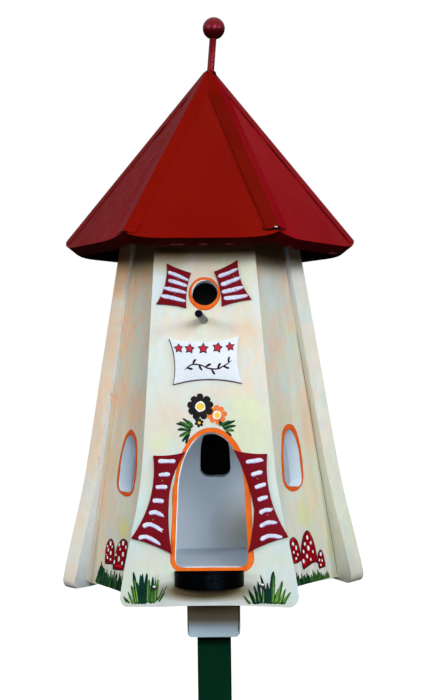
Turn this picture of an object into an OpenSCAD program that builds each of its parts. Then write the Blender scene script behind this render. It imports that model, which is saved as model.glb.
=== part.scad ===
// Six-sided painted bird house on a square post with a cross foot.
// Millimetres. Z up, the entrance front faces -Y, the floor is z = 0.
// Three proud boards (front, back left, back right) stand in front of the
// ends of three set-back window walls; all six lean in towards the top.

/* [Stand] */
// Height of the body's lower edge above the floor
body_z = 1000; // [700:10:1300]
// Side of the square post
post_w = 44; // [36:1:60]
// Full span of each foot beam
foot_span = 560; // [460:10:700]
// Width of the foot beams
foot_w = 60; // [50:1:90]
// Height of the foot beams
foot_h = 40; // [30:1:60]
// Bevel on the upper ends of the foot beams
foot_bevel = 14; // [4:1:20]
// Reach of the diagonal braces along beam and post
brace_reach = 150; // [100:5:200]
// Depth of a brace, square to its length
brace_d = 30; // [20:1:40]
// Thickness of the braces
brace_t = 24; // [15:1:40]

/* [Socket] */
// Thickness of the four socket boards
socket_t = 13; // [10:1:20]
// Width of the front and back socket boards
socket_w = 68; // [64:1:90]
// Distance the socket reaches below the body's lower edge
socket_drop = 60; // [40:1:100]
// Rounding of the lower corners of the front and back socket boards
socket_r = 5; // [2:1:12]

/* [Proud boards] */
// Distance from the axis to the outer faces at the lower edge
board_a = 172; // [160:1:190]
// Inward lean in degrees
board_lean = 8.3; // [7:0.1:9]
// Thickness
board_t = 20; // [16:0.5:24]
// Half width at the lower edge without the flare
board_half = 97; // [90:1:99]
// Narrowing of the half width per millimetre of length
board_taper = 0.0785; // [0.076:0.0005:0.085]
// Extra half width of the bell flare at the lower edge
flare_w = 15; // [0:1:20]
// Height of the bell flare
flare_h = 172; // [100:1:220]
// Rounding of the lower corners
corner_r = 14; // [6:1:20]
// Rise of the arched lower edge
edge_arch = 3.5; // [0:0.5:8]
// How much shorter the back left board is at its lower edge
left_cut = 3; // [0:1:10]
// How much shorter the back right board is at its lower edge
right_cut = 9; // [0:1:10]
// Extra width of the front board's left side, 455 mm up its length
front_wide = 5.5; // [0:0.5:6]

/* [Window walls] */
// Distance from the axis to the outer faces at the level of the lower edge
wall_a = 144; // [138:1:150]
// Inward lean in degrees
wall_lean = 7; // [6:0.1:8]
// Thickness
wall_t = 18; // [15:0.5:20]
// Height of the walls' lower edge above the boards' lower edge
wall_v0 = 8; // [2:1:16]
// Rise of the arched lower edge
wall_arch = 2; // [0:0.5:5]
// Window width
win_w = 46; // [36:1:56]
// Window height
win_h = 75; // [60:0.5:84]
// Lower edge of the left front window along the wall
win_v = 136.5; // [120:0.5:150]
// Lower edge of the rear window along the wall
rear_win_v = 144; // [120:1:155]
// Width of the rear window
rear_win_w = 43; // [36:1:46]
// Distance the rear window sits right of the middle, seen from the front
rear_win_shift = 1; // [0:0.5:3]
// Distance the left front window sits behind the middle of its wall
win_shift = 4; // [0:1:8]
// Lower edge of the right front window along the wall
right_win_v = 141.5; // [120:0.5:150]
// Distance the right front window sits behind the middle of its wall
right_win_shift = 0; // [0:1:8]
// Slant of the right front window, its top away from the front, degrees
right_win_turn = 4.5; // [-6:0.5:6]
right_wall_lift = 4.5;  // its lower edge sits higher than the left one's
// Rounding of the lower window corners
win_r = 12; // [6:1:16]
// Thickness of the plate over the rear window
cover_t = 4; // [2:0.5:8]
// Overlap of that plate around the rear window
cover_edge = 12; // [6:1:20]

/* [Doorway and entrance] */
// Doorway width at the sill
door_w = 91; // [76:1:92]
// Doorway width where the arch springs
door_spring_w = 84; // [70:1:86]
// Sill height along the front board
door_v = 50; // [48:1:60]
// Height along the board where the arch springs
door_spring_v = 140; // [130:0.5:158]
// Rise of the arch
door_rise = 78; // [50:1:80]
// Rounding of the sill corners
door_r = 10; // [4:1:16]
// Distance of the doorway from the board's middle line, right is positive
door_x = 3.2; // [-6:0.2:6]
// Entrance hole diameter
entrance_d = 33; // [28:0.5:36]
// Height of the entrance hole along the front board
entrance_v = 396.6; // [385:0.2:405]
// Distance of the hole from the board's middle line, left is negative
entrance_x = -2.9; // [-6:0.1:6]

/* [Perch and ledge] */
// Perch diameter
perch_d = 9.5; // [6:0.5:14]
// Perch length in front of the board
perch_l = 48; // [30:1:60]
// Height of the perch along the front board
perch_v = 361; // [354:1:364]
// Distance of the perch from the board's middle line, left is negative
perch_x = -3.6; // [-6:0.1:6]
// Sideways slant of the perch towards the left, degrees
perch_slant = 6.5; // [0:0.5:15]
// Radius of the half-round feeding ledge
ledge_r = 43; // [36:1:44]
// Thickness of the feeding ledge
ledge_t = 18; // [12:1:20]
// Height of the ledge's top above the body's lower edge
ledge_z = 45.5; // [40:0.5:48]

/* [Inner floors] */
// Height of the feeding floor's top above the body's lower edge
floor_z = 38; // [34:1:42]
// Thickness of the feeding floor
floor_t = 18; // [12:1:20]
// Height of the nest floor's top above the body's lower edge
nest_z = 290; // [250:1:320]
// Thickness of the nest floor
nest_t = 12; // [9:1:18]
// Gap around both floors
floor_gap = 0.5; // [0.2:0.1:2]

/* [Roof] */
// Distance from the axis to the eave corners
roof_r = 195; // [185:1:205]
// Height of the eave corners above the body's lower edge
roof_z = 464.5; // [455:0.5:480]
// Rise from the eave corners to the apex
roof_rise = 238; // [210:1:250]
// Thickness of the roof panels
roof_t = 18; // [12:0.5:20]
// Outward bow of each eave
eave_bow = 10.5; // [0:0.5:18]
// Squareness of the eave bow, higher is flatter in the middle
eave_pow = 6; // [2:1:8]
// Width of the ridge caps on each side of a ridge
cap_w = 16; // [12:1:26]
// Thickness of the ridge caps
cap_t = 1.2; // [1:0.1:4]
// Rounding of the caps' lower corners
cap_r = 4; // [1:0.5:8]
// Distance of the caps' lower ends from the eave corners
cap_end = 1.5; // [0:0.5:10]
// The same for the front right cap, which ends higher
front_cap_end = 5.5; // [0:0.5:12]
// How far the front right cap stands off at its lower end, degrees
cap_lift = 0.3; // [0:0.05:0.5]
// How far the roof is turned on the body, degrees
roof_turn = -1.5; // [-2:0.1:2]
// How far the roof sits out of level, right side down, degrees
roof_tilt = 0.7; // [0:0.1:0.8]
// How far the roof sits out of level, front side up, degrees
roof_pitch = 0.5; // [0:0.1:0.8]

/* [Finial] */
// Rod diameter
rod_d = 9.5; // [6:0.5:11]
// Rod length above the apex
rod_l = 48; // [40:1:70]
// Rod length below the apex
rod_in = 44; // [30:1:60]
// Sideways lean of the rod above the apex, degrees
rod_lean = 4.3; // [0:0.1:8]
// Distance of the rod from the roof's middle, right is positive
rod_shift = 2.4; // [-3:0.1:3]
// Ball diameter
ball_d = 30; // [24:1:36]

/* [Nailed plates] */
// Thickness of the shutters
shutter_t = 3.5; // [2:0.5:5]
// Thickness of the sign plate
sign_t = 3; // [2:0.5:5]
// Distance of the upper shutters from the middle line, left is negative
upper_shift = -4.5; // [-6:0.5:6]
// Slant of the pair of upper shutters, left side down, degrees
upper_turn = 2; // [-3:0.5:3]

/* [Hidden] */
$fn = 48;
big = 1200;
roof_a = roof_r * cos(30);
roof_lean = 90 - atan2(roof_rise, roof_a);
slope_l = sqrt(roof_a * roof_a + roof_rise * roof_rise);
void_a = roof_a - roof_t / cos(roof_lean);
void_top = roof_z + void_a * roof_rise / roof_a;
void_low = void_a + roof_z * roof_a / roof_rise;
apex_z = roof_z + roof_rise;
floor_low = floor_z - floor_t;
nest_low = nest_z - nest_t;
green = [0.05, 0.16, 0.10];
white = [0.90, 0.91, 0.86];
ivory = [0.89, 0.88, 0.80];
red = [0.42, 0.08, 0.08];
dark_red = [0.30, 0.04, 0.04];
burgundy = [0.45, 0.05, 0.13];
black = [0.05, 0.05, 0.05];

// ---------- outlines ----------

function ease(t) = t <= 0 ? 0 : t >= 1 ? 1 : t * t * (3 - 2 * t);

// half width of a proud board at length v
function half_at(v) = board_half - board_taper * v
  + flare_w * (1 - ease(v / flare_h));

// points on a circular arc
function arc(cx, cy, r, a0, a1, n) =
  [for (i = [0:n]) let (a = a0 + (a1 - a0) * i / n)
    [cx + r * cos(a), cy + r * sin(a)]];

// points from p towards q, bowed sideways (positive bows to the right)
function bowed(p, q, b, n = 10) = let (d = q - p, l = norm(d),
    s = [d[1] / l, -d[0] / l])
  [for (i = [0:n - 1]) let (t = i / n)
    p + d * t + s * (4 * b * t * (1 - t))];

// half outline of a proud board: lower edge, rounded corner, flared side;
// cut shortens it at the lower edge, wide widens its upper part
function board_side(top, cut = 0, wide = 0) = let (v0 = cut + corner_r,
    x0 = half_at(v0) - corner_r, v1 = flare_h + 28)
  concat(
    [for (i = [1:6]) let (t = i / 6) [x0 * t, cut + edge_arch * (1 - t * t)]],
    arc(x0, v0, corner_r, -75, -15, 4),
    [for (i = [0:14]) let (v = v0 + (flare_h - v0) * i / 14)
      [half_at(v), v]],
    [[half_at(v1), v1],
      [half_at(top) + wide * (top - v1) / (455 - v1), top]]);

// closed outline from a right half and a left half
function outline(right, left) = concat(right,
  [for (i = [len(left) - 1:-1:0]) [-left[i][0], left[i][1]]]);

// arched opening: sill width w, height h, spring width ws at height hs
function opening_pts(w, ws, hs, rise, r) = let (side = concat(
    arc(w / 2 - r, r, r, -90, 0, 6),
    [for (i = [0:11]) let (a = 90 * i / 12)
      [ws / 2 * cos(a), hs + rise * sin(a)]]))
  concat(side, [[0, hs + rise]],
    [for (i = [len(side) - 1:-1:0]) [-side[i][0], side[i][1]]]);

// ---------- frames ----------

// frame of a leaning face: x across, y up the face, z outwards
module face(az, a, lean, z0 = 0) {
  rotate([0, 0, az]) translate([0, -a, body_z + z0])
    rotate([90 - lean, 0, 0]) children();
}

module on_board(az) { face(az, board_a, board_lean) children(); }
module on_wall(az) { face(az, wall_a, wall_lean) children(); }
module on_roof(az) { face(az, roof_a, roof_lean, roof_z) children(); }

// sector of the plan between two bearings measured from the front
module sector(a0, a1) {
  linear_extrude(height = 3 * big) polygon([[0, 0],
    [big * sin(a0), -big * cos(a0)], [big * sin(a1), -big * cos(a1)]]);
}

// the roof's own frame: turned and tilted about the middle of its eaves
module roof_set() {
  translate([0, 0, body_z + roof_z]) rotate([-roof_pitch, roof_tilt, 0])
    rotate([0, 0, roof_turn]) translate([0, 0, -body_z - roof_z]) children();
}

// six-sided space under the roof panels
module roof_void() {
  roof_set() translate([0, 0, body_z])
    cylinder(h = void_top, r1 = void_low / cos(30), r2 = 0, $fn = 6);
}

// everything on the inner side of a proud board
module behind_board(az) {
  on_board(az) translate([-big / 2, -200, -board_t - big])
    cube([big, big, big]);
}

// ---------- stand ----------

// one foot beam along X, lapped at the middle
module foot_beam(upper) {
  difference() {
    translate([0, foot_w / 2, 0]) rotate([90, 0, 0])
      linear_extrude(height = foot_w) polygon([
        [-foot_span / 2, 0], [foot_span / 2, 0],
        [foot_span / 2, foot_h - foot_bevel],
        [foot_span / 2 - foot_bevel, foot_h],
        [-foot_span / 2 + foot_bevel, foot_h],
        [-foot_span / 2, foot_h - foot_bevel]]);
    translate([-foot_w / 2, -foot_w, upper ? -1 : foot_h / 2])
      cube([foot_w, 2 * foot_w, foot_h / 2 + 1]);
  }
}

module brace(az) {
  c = brace_d * sqrt(2);
  rotate([0, 0, az]) translate([-brace_t / 2, 0, 0]) rotate([90, 0, 90])
    linear_extrude(height = brace_t) polygon([
      [-post_w / 2, foot_h + brace_reach - c],
      [-post_w / 2, foot_h + brace_reach],
      [-post_w / 2 - brace_reach, foot_h],
      [-post_w / 2 - brace_reach + c, foot_h]]);
}

module foot_beam_side() { color(green) foot_beam(false); }
module foot_beam_front() { color(green) rotate([0, 0, 90]) foot_beam(true); }
module brace_front() { color(green) brace(0); }
module brace_right() { color(green) brace(90); }
module brace_back() { color(green) brace(180); }
module brace_left() { color(green) brace(270); }

module post() {
  color(green) translate([-post_w / 2, -post_w / 2, foot_h])
    cube([post_w, post_w, body_z + floor_low - foot_h]);
}

// ---------- socket ----------

// wide socket board with two rounded lower corners
module socket_wide(az) {
  h = socket_drop + floor_low;
  color(white) rotate([0, 0, az])
    translate([0, -post_w / 2, body_z - socket_drop]) rotate([90, 0, 0])
      linear_extrude(height = socket_t) polygon(concat(
        arc(socket_w / 2 - socket_r, socket_r, socket_r, -90, 0, 6),
        [[socket_w / 2, h], [-socket_w / 2, h]],
        arc(-socket_w / 2 + socket_r, socket_r, socket_r, 180, 270, 6)));
}

module socket_narrow(az) {
  color(white) rotate([0, 0, az])
    translate([-post_w / 2, -post_w / 2 - socket_t, body_z - socket_drop + 1])
      cube([post_w, socket_t, socket_drop + floor_low - 1]);
}

module socket_front() { socket_wide(0); }
module socket_back() { socket_wide(180); }
module socket_left() { socket_narrow(270); }
module socket_right() { socket_narrow(90); }

// ---------- body ----------

module proud_blank(cut = 0, wide = 0) {
  translate([0, 0, -board_t]) linear_extrude(height = board_t)
    polygon(outline(board_side(600, cut), board_side(600, cut, wide)));
}

// frame at the foot of the perch
module at_perch() {
  on_board(0) translate([perch_x, perch_v, 0])
    rotate([0, -perch_slant, 0]) children();
}

module front_wall() {
  color(ivory) difference() {
    intersection() {
      on_board(0) difference() {
        proud_blank(0, front_wide);
        translate([door_x, door_v, -2 * board_t])
          linear_extrude(height = 3 * board_t) polygon(opening_pts(door_w,
            door_spring_w, door_spring_v - door_v, door_rise, door_r));
        translate([entrance_x, entrance_v, -2 * board_t])
          cylinder(d = entrance_d, h = 3 * board_t);
      }
      roof_void();
    }
    at_perch() translate([0, 0, -board_t + 6])
      cylinder(d = perch_d, h = board_t);
  }
}

module proud_plain(az, cut) {
  color(ivory) intersection() {
    on_board(az) proud_blank(cut);
    roof_void();
  }
}

module back_left_wall() { proud_plain(240, left_cut); }
module back_right_wall() { proud_plain(120, right_cut); }

// window wall between the inner faces of its two neighbours
module window_wall(az, v, shift, turn = 0, w = win_w, lift = 0) {
  color(ivory) intersection() {
    on_wall(az) difference() {
      translate([0, 0, -wall_t]) linear_extrude(height = wall_t)
        polygon(concat(
          [for (i = [-8:8]) [i * 16, wall_v0 + lift
            + wall_arch * (1 - i * i / 25)]],
          [[128, 600], [-128, 600]]));
      translate([shift, v + win_h / 2, -2 * wall_t]) rotate([0, 0, -turn])
        translate([0, -win_h / 2, 0]) linear_extrude(height = 3 * wall_t)
          polygon(opening_pts(w, w - 1, win_h * 0.4, win_h * 0.6, win_r));
    }
    behind_board(az - 60);
    behind_board(az + 60);
    roof_void();
  }
}

module left_window_wall() { window_wall(-60, win_v, -win_shift); }
module right_window_wall() {
  window_wall(60, right_win_v, right_win_shift, right_win_turn,
    lift = right_wall_lift);
}
module rear_window_wall() {
  window_wall(180, rear_win_v, -rear_win_shift, 0, rear_win_w);
}

// thin arched plate fixed over the rear window from outside
module rear_window_cover() {
  color(black) on_wall(180)
    translate([-rear_win_shift, rear_win_v - cover_edge, 0])
      linear_extrude(height = cover_t) polygon(opening_pts(
        rear_win_w + 2 * cover_edge, rear_win_w - 1 + 2 * cover_edge,
        win_h * 0.4 + cover_edge, win_h * 0.6 + cover_edge, win_r));
}

// horizontal panel inside the six walls, top face at height z
module inner_panel(z, t) {
  pa = board_a - board_t / cos(board_lean) - z * tan(board_lean) - floor_gap;
  wa = wall_a - wall_t / cos(wall_lean) - z * tan(wall_lean) - floor_gap;
  color(white) translate([0, 0, body_z + z - t])
    linear_extrude(height = t) polygon([for (k = [0:5])
      let (a = k * 60, p = k % 2 == 0 ? pa : wa, q = k % 2 == 0 ? wa : pa,
        s = (q - p * cos(60)) / sin(60))
      [p * sin(a) + s * cos(a), -p * cos(a) + s * sin(a)]]);
}

module floor_panel() { inner_panel(floor_z, floor_t); }
module nest_floor() { inner_panel(nest_z, nest_t); }

// ---------- roof ----------

// frame on the rod's axis at the apex, leaning to the right
module at_apex() {
  roof_set() translate([rod_shift, 0, body_z + apex_z])
    rotate([0, rod_lean, 0]) children();
}

module rod_space(d) {
  at_apex() translate([0, 0, -2 * rod_in]) cylinder(d = d, h = 3 * rod_in);
}

module roof_panel(az) {
  color(red) difference() {
    roof_set() intersection() {
      on_roof(az) translate([0, 0, -roof_t]) linear_extrude(height = roof_t)
        polygon(concat(
          [for (i = [-22:22]) let (u = sign(i)
            * pow(abs(i) / 22, 0.7) * 102)
            [u, -eave_bow * (1 - pow(abs(u) / (roof_r / 2), eave_pow))]],
          [[110, slope_l + 60], [-110, slope_l + 60]]));
      sector(az - 30, az + 30);
    }
    rod_space(rod_d);
  }
}

module roof_panel_front() { roof_panel(0); }
module roof_panel_front_right() { roof_panel(60); }
module roof_panel_back_right() { roof_panel(120); }
module roof_panel_back() { roof_panel(180); }
module roof_panel_back_left() { roof_panel(240); }
module roof_panel_front_left() { roof_panel(300); }

// one wing of a ridge cap; side 1 is the right edge of the panel, short is
// its distance from the eave corner
module cap_wing(az, side, short) {
  e = [roof_r / 2, 0];
  p = [0, slope_l];
  d = (p - e) / norm(p - e);
  n = [-d[1], d[0]];
  c = e + d * (short + cap_r) + n * (cap_w - cap_r);
  intersection() {
    on_roof(az) scale([side, 1, 1]) linear_extrude(height = cap_t)
      polygon(concat([e + d * short - n * 8, p + d * 30 - n * 8,
        p + d * 30 + n * cap_w],
        [for (i = [6:-1:0]) c + cap_r * (n * sin(15 * i) - d * cos(15 * i))]));
    sector(az + (side > 0 ? 0 : -30), az + (side > 0 ? 30 : 0));
  }
}

// angle strip over the ridge at bearing az, its lower end lifted
module ridge_cap(az, short = cap_end, lift = 0) {
  color(dark_red) difference() {
    roof_set() translate([0, 0, body_z + apex_z]) rotate([0, 0, az])
      rotate([-lift, 0, 0]) rotate([0, 0, -az])
        translate([0, 0, -body_z - apex_z]) {
          cap_wing(az - 30, 1, short);
          cap_wing(az + 30, -1, short);
        }
    rod_space(rod_d + 7);
  }
}

module ridge_cap_front_right() {
  ridge_cap(30, front_cap_end, cap_lift);
}
module ridge_cap_right() { ridge_cap(90); }
module ridge_cap_back_right() { ridge_cap(150); }
module ridge_cap_back_left() { ridge_cap(210); }
module ridge_cap_left() { ridge_cap(270); }
module ridge_cap_front_left() { ridge_cap(330); }

// ---------- finial ----------

module finial_rod() {
  color(dark_red) at_apex() translate([0, 0, -rod_in])
    cylinder(d = rod_d, h = rod_in + rod_l);
}

module finial_ball() {
  color(dark_red) at_apex() difference() {
    translate([0, 0, rod_l + 5]) sphere(d = ball_d);
    translate([0, 0, 10]) cylinder(d = rod_d, h = rod_l - 10);
  }
}

// ---------- front fittings ----------

module perch_peg() {
  color(black) at_perch() translate([0, 0, -board_t + 6])
    cylinder(d = perch_d, h = board_t - 6 + perch_l);
}

// half-round ledge, its straight side cut to the lean of the board
module feeding_ledge() {
  color(black) intersection() {
    translate([0, -board_a + ledge_z * tan(board_lean),
      body_z + ledge_z - ledge_t])
      cylinder(r = ledge_r, h = ledge_t, $fn = 72);
    on_board(0) translate([-big / 2, -200, 0]) cube([big, big, big]);
  }
}

module plate(t, pts) {
  on_board(0) linear_extrude(height = t) polygon(pts);
}

// outlines of the right-hand plates, outer side away from the middle
upper_pts = concat(
  bowed([22.5, 377], [61, 384], -1.5, 6),
  bowed([61, 384], [45.5, 436.5], -5),
  bowed([45.5, 436.5], [14.5, 422.5], -1, 6),
  bowed([14.5, 422.5], [22.5, 377], -2.5));
lower_pts = concat(
  bowed([48.5, 67.5], [99, 86.5], -2, 8),
  bowed([99, 86.5], [74, 190], -9.5, 14),
  bowed([74, 190], [31.5, 195.5], -2, 8),
  bowed([31.5, 195.5], [56.5, 120], -3.5, 10),
  bowed([56.5, 120], [48.5, 67.5], -1.5, 8));
left_pts = concat(
  bowed([46, 66.5], [97, 86.5], -2, 8),
  bowed([97, 86.5], [69, 189.5], -10.5, 14),
  bowed([69, 189.5], [28, 193.5], -2, 8),
  bowed([28, 193.5], [49.5, 132], -5, 10),
  bowed([49.5, 132], [46, 66.5], -2, 8));
sign_pts = concat(
  bowed([-43, 279], [43, 279.5], -6, 14),
  bowed([43, 279.5], [40.5, 339.5], -4.5),
  bowed([40.5, 339.5], [-48, 337.5], -6.5, 14),
  bowed([-48, 337.5], [-43, 279], -4.5));

function flipped(pts) = [for (i = [len(pts) - 1:-1:0])
  [-pts[i][0], pts[i][1]]];

// outline turned about the middle of the upper shutters, then shifted
function slanted(pts) = [for (p = pts) let (v = p[1] - 400)
  [upper_shift + p[0] * cos(upper_turn) - v * sin(upper_turn),
    400 + p[0] * sin(upper_turn) + v * cos(upper_turn)]];

module upper_shutter_right() {
  color(burgundy) plate(shutter_t, slanted(upper_pts));
}
module upper_shutter_left() {
  color(burgundy) plate(shutter_t, slanted(flipped(upper_pts)));
}
module lower_shutter_right() { color(burgundy) plate(shutter_t, lower_pts); }
module lower_shutter_left() {
  color(burgundy) plate(shutter_t, flipped(left_pts));
}
module sign_plate() { color(white) plate(sign_t, sign_pts); }

foot_beam_side();
foot_beam_front();
brace_front();
brace_right();
brace_back();
brace_left();
post();
socket_front();
socket_back();
socket_left();
socket_right();
floor_panel();
front_wall();
back_left_wall();
back_right_wall();
left_window_wall();
right_window_wall();
rear_window_wall();
rear_window_cover();
nest_floor();
roof_panel_front();
roof_panel_front_right();
roof_panel_back_right();
roof_panel_back();
roof_panel_back_left();
roof_panel_front_left();
ridge_cap_front_right();
ridge_cap_right();
ridge_cap_back_right();
ridge_cap_back_left();
ridge_cap_left();
ridge_cap_front_left();
finial_rod();
finial_ball();
perch_peg();
feeding_ledge();
upper_shutter_left();
upper_shutter_right();
lower_shutter_left();
lower_shutter_right();
sign_plate();
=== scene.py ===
import bpy, bmesh, math, random
from mathutils import Matrix, Vector


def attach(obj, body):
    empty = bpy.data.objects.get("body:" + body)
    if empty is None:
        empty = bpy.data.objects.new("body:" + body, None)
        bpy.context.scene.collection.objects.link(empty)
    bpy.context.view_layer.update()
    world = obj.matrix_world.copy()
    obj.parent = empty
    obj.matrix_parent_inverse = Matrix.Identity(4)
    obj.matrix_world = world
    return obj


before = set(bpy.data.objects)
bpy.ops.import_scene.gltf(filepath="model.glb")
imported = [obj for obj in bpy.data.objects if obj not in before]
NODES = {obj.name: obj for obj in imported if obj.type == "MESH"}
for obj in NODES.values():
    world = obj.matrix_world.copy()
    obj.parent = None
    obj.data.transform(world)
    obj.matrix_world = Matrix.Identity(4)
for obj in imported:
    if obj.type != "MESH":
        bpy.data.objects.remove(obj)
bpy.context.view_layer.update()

scene = bpy.context.scene
cos, sin, tan, pi = math.cos, math.sin, math.tan, math.pi
rad = math.radians

# ---------------------------------------------------------------- sizes (mm)
BODY_Z = 1000.0
BOARD_A, BOARD_LEAN, BOARD_T = 172.0, 8.3, 20.0
WALL_A, WALL_LEAN, WALL_T = 144.0, 7.0, 18.0
ROOF_R, ROOF_Z, ROOF_RISE, ROOF_T = 195.0, 464.5, 238.0, 18.0
ROOF_TURN, ROOF_TILT, ROOF_PITCH = -1.5, 0.7, 0.5
ROOF_A = ROOF_R * cos(rad(30))
ROOF_LEAN = 90 - math.degrees(math.atan2(ROOF_RISE, ROOF_A))
SLOPE_L = math.hypot(ROOF_RISE, ROOF_A)
CAP_T, CAP_LIFT = 1.2, 0.3
DOOR_X, DOOR_V, DOOR_W, DOOR_WS, DOOR_HS, DOOR_RISE = 3.2, 50.0, 91.0, 84.0, 90.0, 78.0
HOLE_X, HOLE_V, HOLE_R = -2.9, 396.6, 16.5
WIN_W, WIN_WS, WIN_HS, WIN_RISE, WIN_TURN = 46.0, 45.0, 30.0, 45.0, 4.5
UPPER_SHIFT, UPPER_TURN = -4.5, 2.0


def face(az, a, lean, z0=0.0):
    """Matrix from a leaning face's own millimetres (across, up, out) to metres."""
    return (Matrix.Scale(0.001, 4) @ Matrix.Rotation(rad(az), 4, "Z")
            @ Matrix.Translation((0, -a, BODY_Z + z0))
            @ Matrix.Rotation(rad(90 - lean), 4, "X"))


FRONT = face(0, BOARD_A, BOARD_LEAN)
WALL_L = face(-60, WALL_A, WALL_LEAN)
WALL_R = face(60, WALL_A, WALL_LEAN)


ROOF_SET = (Matrix.Translation((0, 0, (BODY_Z + ROOF_Z) / 1000)) @ Matrix.Rotation(rad(ROOF_TILT), 4, "Y")
            @ Matrix.Rotation(rad(-ROOF_PITCH), 4, "X") @ Matrix.Rotation(rad(ROOF_TURN), 4, "Z") @ Matrix.Translation((0, 0, -(BODY_Z + ROOF_Z) / 1000)))


def roof_face(az):
    return ROOF_SET @ face(az, ROOF_A, ROOF_LEAN, ROOF_Z)


def slanted(u, v):
    """A point of the upper shutters, turned and shifted with them."""
    c, s = cos(rad(UPPER_TURN)), sin(rad(UPPER_TURN))
    return UPPER_SHIFT + u * c - (v - 400) * s, 400 + u * s + (v - 400) * c


# ---------------------------------------------------------------- node helpers
def new_mat(name):
    m = bpy.data.materials.new(name)
    m.use_nodes = True
    nt = m.node_tree
    nt.nodes.clear()
    out = nt.nodes.new("ShaderNodeOutputMaterial")
    bsdf = nt.nodes.new("ShaderNodeBsdfPrincipled")
    nt.links.new(bsdf.outputs[0], out.inputs[0])
    return m, nt, bsdf


class Tree:
    """Short calls for building a material."""

    def __init__(self, nt):
        self.nt = nt
        self.tc = nt.nodes.new("ShaderNodeTexCoord")

    def put(self, socket, value):
        if hasattr(value, "is_linked") or isinstance(value, bpy.types.NodeSocket):
            self.nt.links.new(value, socket)
        elif isinstance(value, (tuple, list)) and len(value) == 3 and socket.type == "RGBA":
            socket.default_value = (*value, 1)
        else:
            socket.default_value = value

    def mapping(self, scale=(1, 1, 1), rot=(0, 0, 0), loc=(0, 0, 0), vec=None):
        n = self.nt.nodes.new("ShaderNodeMapping")
        n.inputs["Scale"].default_value = scale
        n.inputs["Rotation"].default_value = rot
        n.inputs["Location"].default_value = loc
        self.nt.links.new(vec or self.tc.outputs["Object"], n.inputs["Vector"])
        return n.outputs[0]

    def noise(self, scale, detail=3, rough=0.5, vec=None, dist=0.0):
        n = self.nt.nodes.new("ShaderNodeTexNoise")
        n.inputs["Scale"].default_value = scale
        n.inputs["Detail"].default_value = detail
        n.inputs["Roughness"].default_value = rough
        n.inputs["Distortion"].default_value = dist
        self.nt.links.new(vec or self.tc.outputs["Object"], n.inputs["Vector"])
        return n.outputs["Fac"]

    def ramp(self, fac, stops, interp="LINEAR"):
        n = self.nt.nodes.new("ShaderNodeValToRGB")
        cr = n.color_ramp
        cr.interpolation = interp
        while len(cr.elements) < len(stops):
            cr.elements.new(0.5)
        for e, (p, c) in zip(cr.elements, stops):
            e.position = p
            e.color = (*c, 1) if isinstance(c, (tuple, list)) else (c, c, c, 1)
        self.nt.links.new(fac, n.inputs[0])
        return n.outputs[0]

    def mix(self, fac, a, b, mode="MIX"):
        n = self.nt.nodes.new("ShaderNodeMix")
        n.data_type = "RGBA"
        n.blend_type = mode
        ins = [s for s in n.inputs if s.type == "RGBA"]
        self.put(n.inputs[0], fac)
        self.put(ins[0], a)
        self.put(ins[1], b)
        return [s for s in n.outputs if s.type == "RGBA"][0]

    def math(self, op, a, b=0.0, clamp=False):
        n = self.nt.nodes.new("ShaderNodeMath")
        n.operation = op
        n.use_clamp = clamp
        self.put(n.inputs[0], a)
        self.put(n.inputs[1], b)
        return n.outputs[0]

    def normal(self):
        return self.tc.outputs["Normal"]

    def dot(self, vec3, vec=None):
        n = self.nt.nodes.new("ShaderNodeVectorMath")
        n.operation = "DOT_PRODUCT"
        self.nt.links.new(vec or self.tc.outputs["Object"], n.inputs[0])
        n.inputs[1].default_value = vec3
        return n.outputs["Value"]

    def spot(self, centre, radius, soft=1.0):
        """1 at a point, fading to 0 at an ellipsoid's surface."""
        m = self.mapping(scale=tuple(1 / r for r in radius),
                         loc=tuple(-c / r for c, r in zip(centre, radius)))
        n = self.nt.nodes.new("ShaderNodeVectorMath")
        n.operation = "LENGTH"
        self.nt.links.new(m, n.inputs[0])
        f = self.math("SUBTRACT", 1.0, n.outputs["Value"], clamp=True)
        return self.math("MULTIPLY", f, soft, clamp=True)

    def bump(self, height, strength, distance):
        n = self.nt.nodes.new("ShaderNodeBump")
        n.inputs["Strength"].default_value = strength
        n.inputs["Distance"].default_value = distance
        self.nt.links.new(height, n.inputs["Height"])
        return n.outputs[0]


def plane_of(matrix):
    """Normal n and offset d, in metres, so that n.p + d is the height over a face."""
    n = matrix.to_3x3() @ Vector((0, 0, 1))
    n.normalize()
    p = matrix @ Vector((0, 0, 0))
    return n, -n.dot(p)


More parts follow.
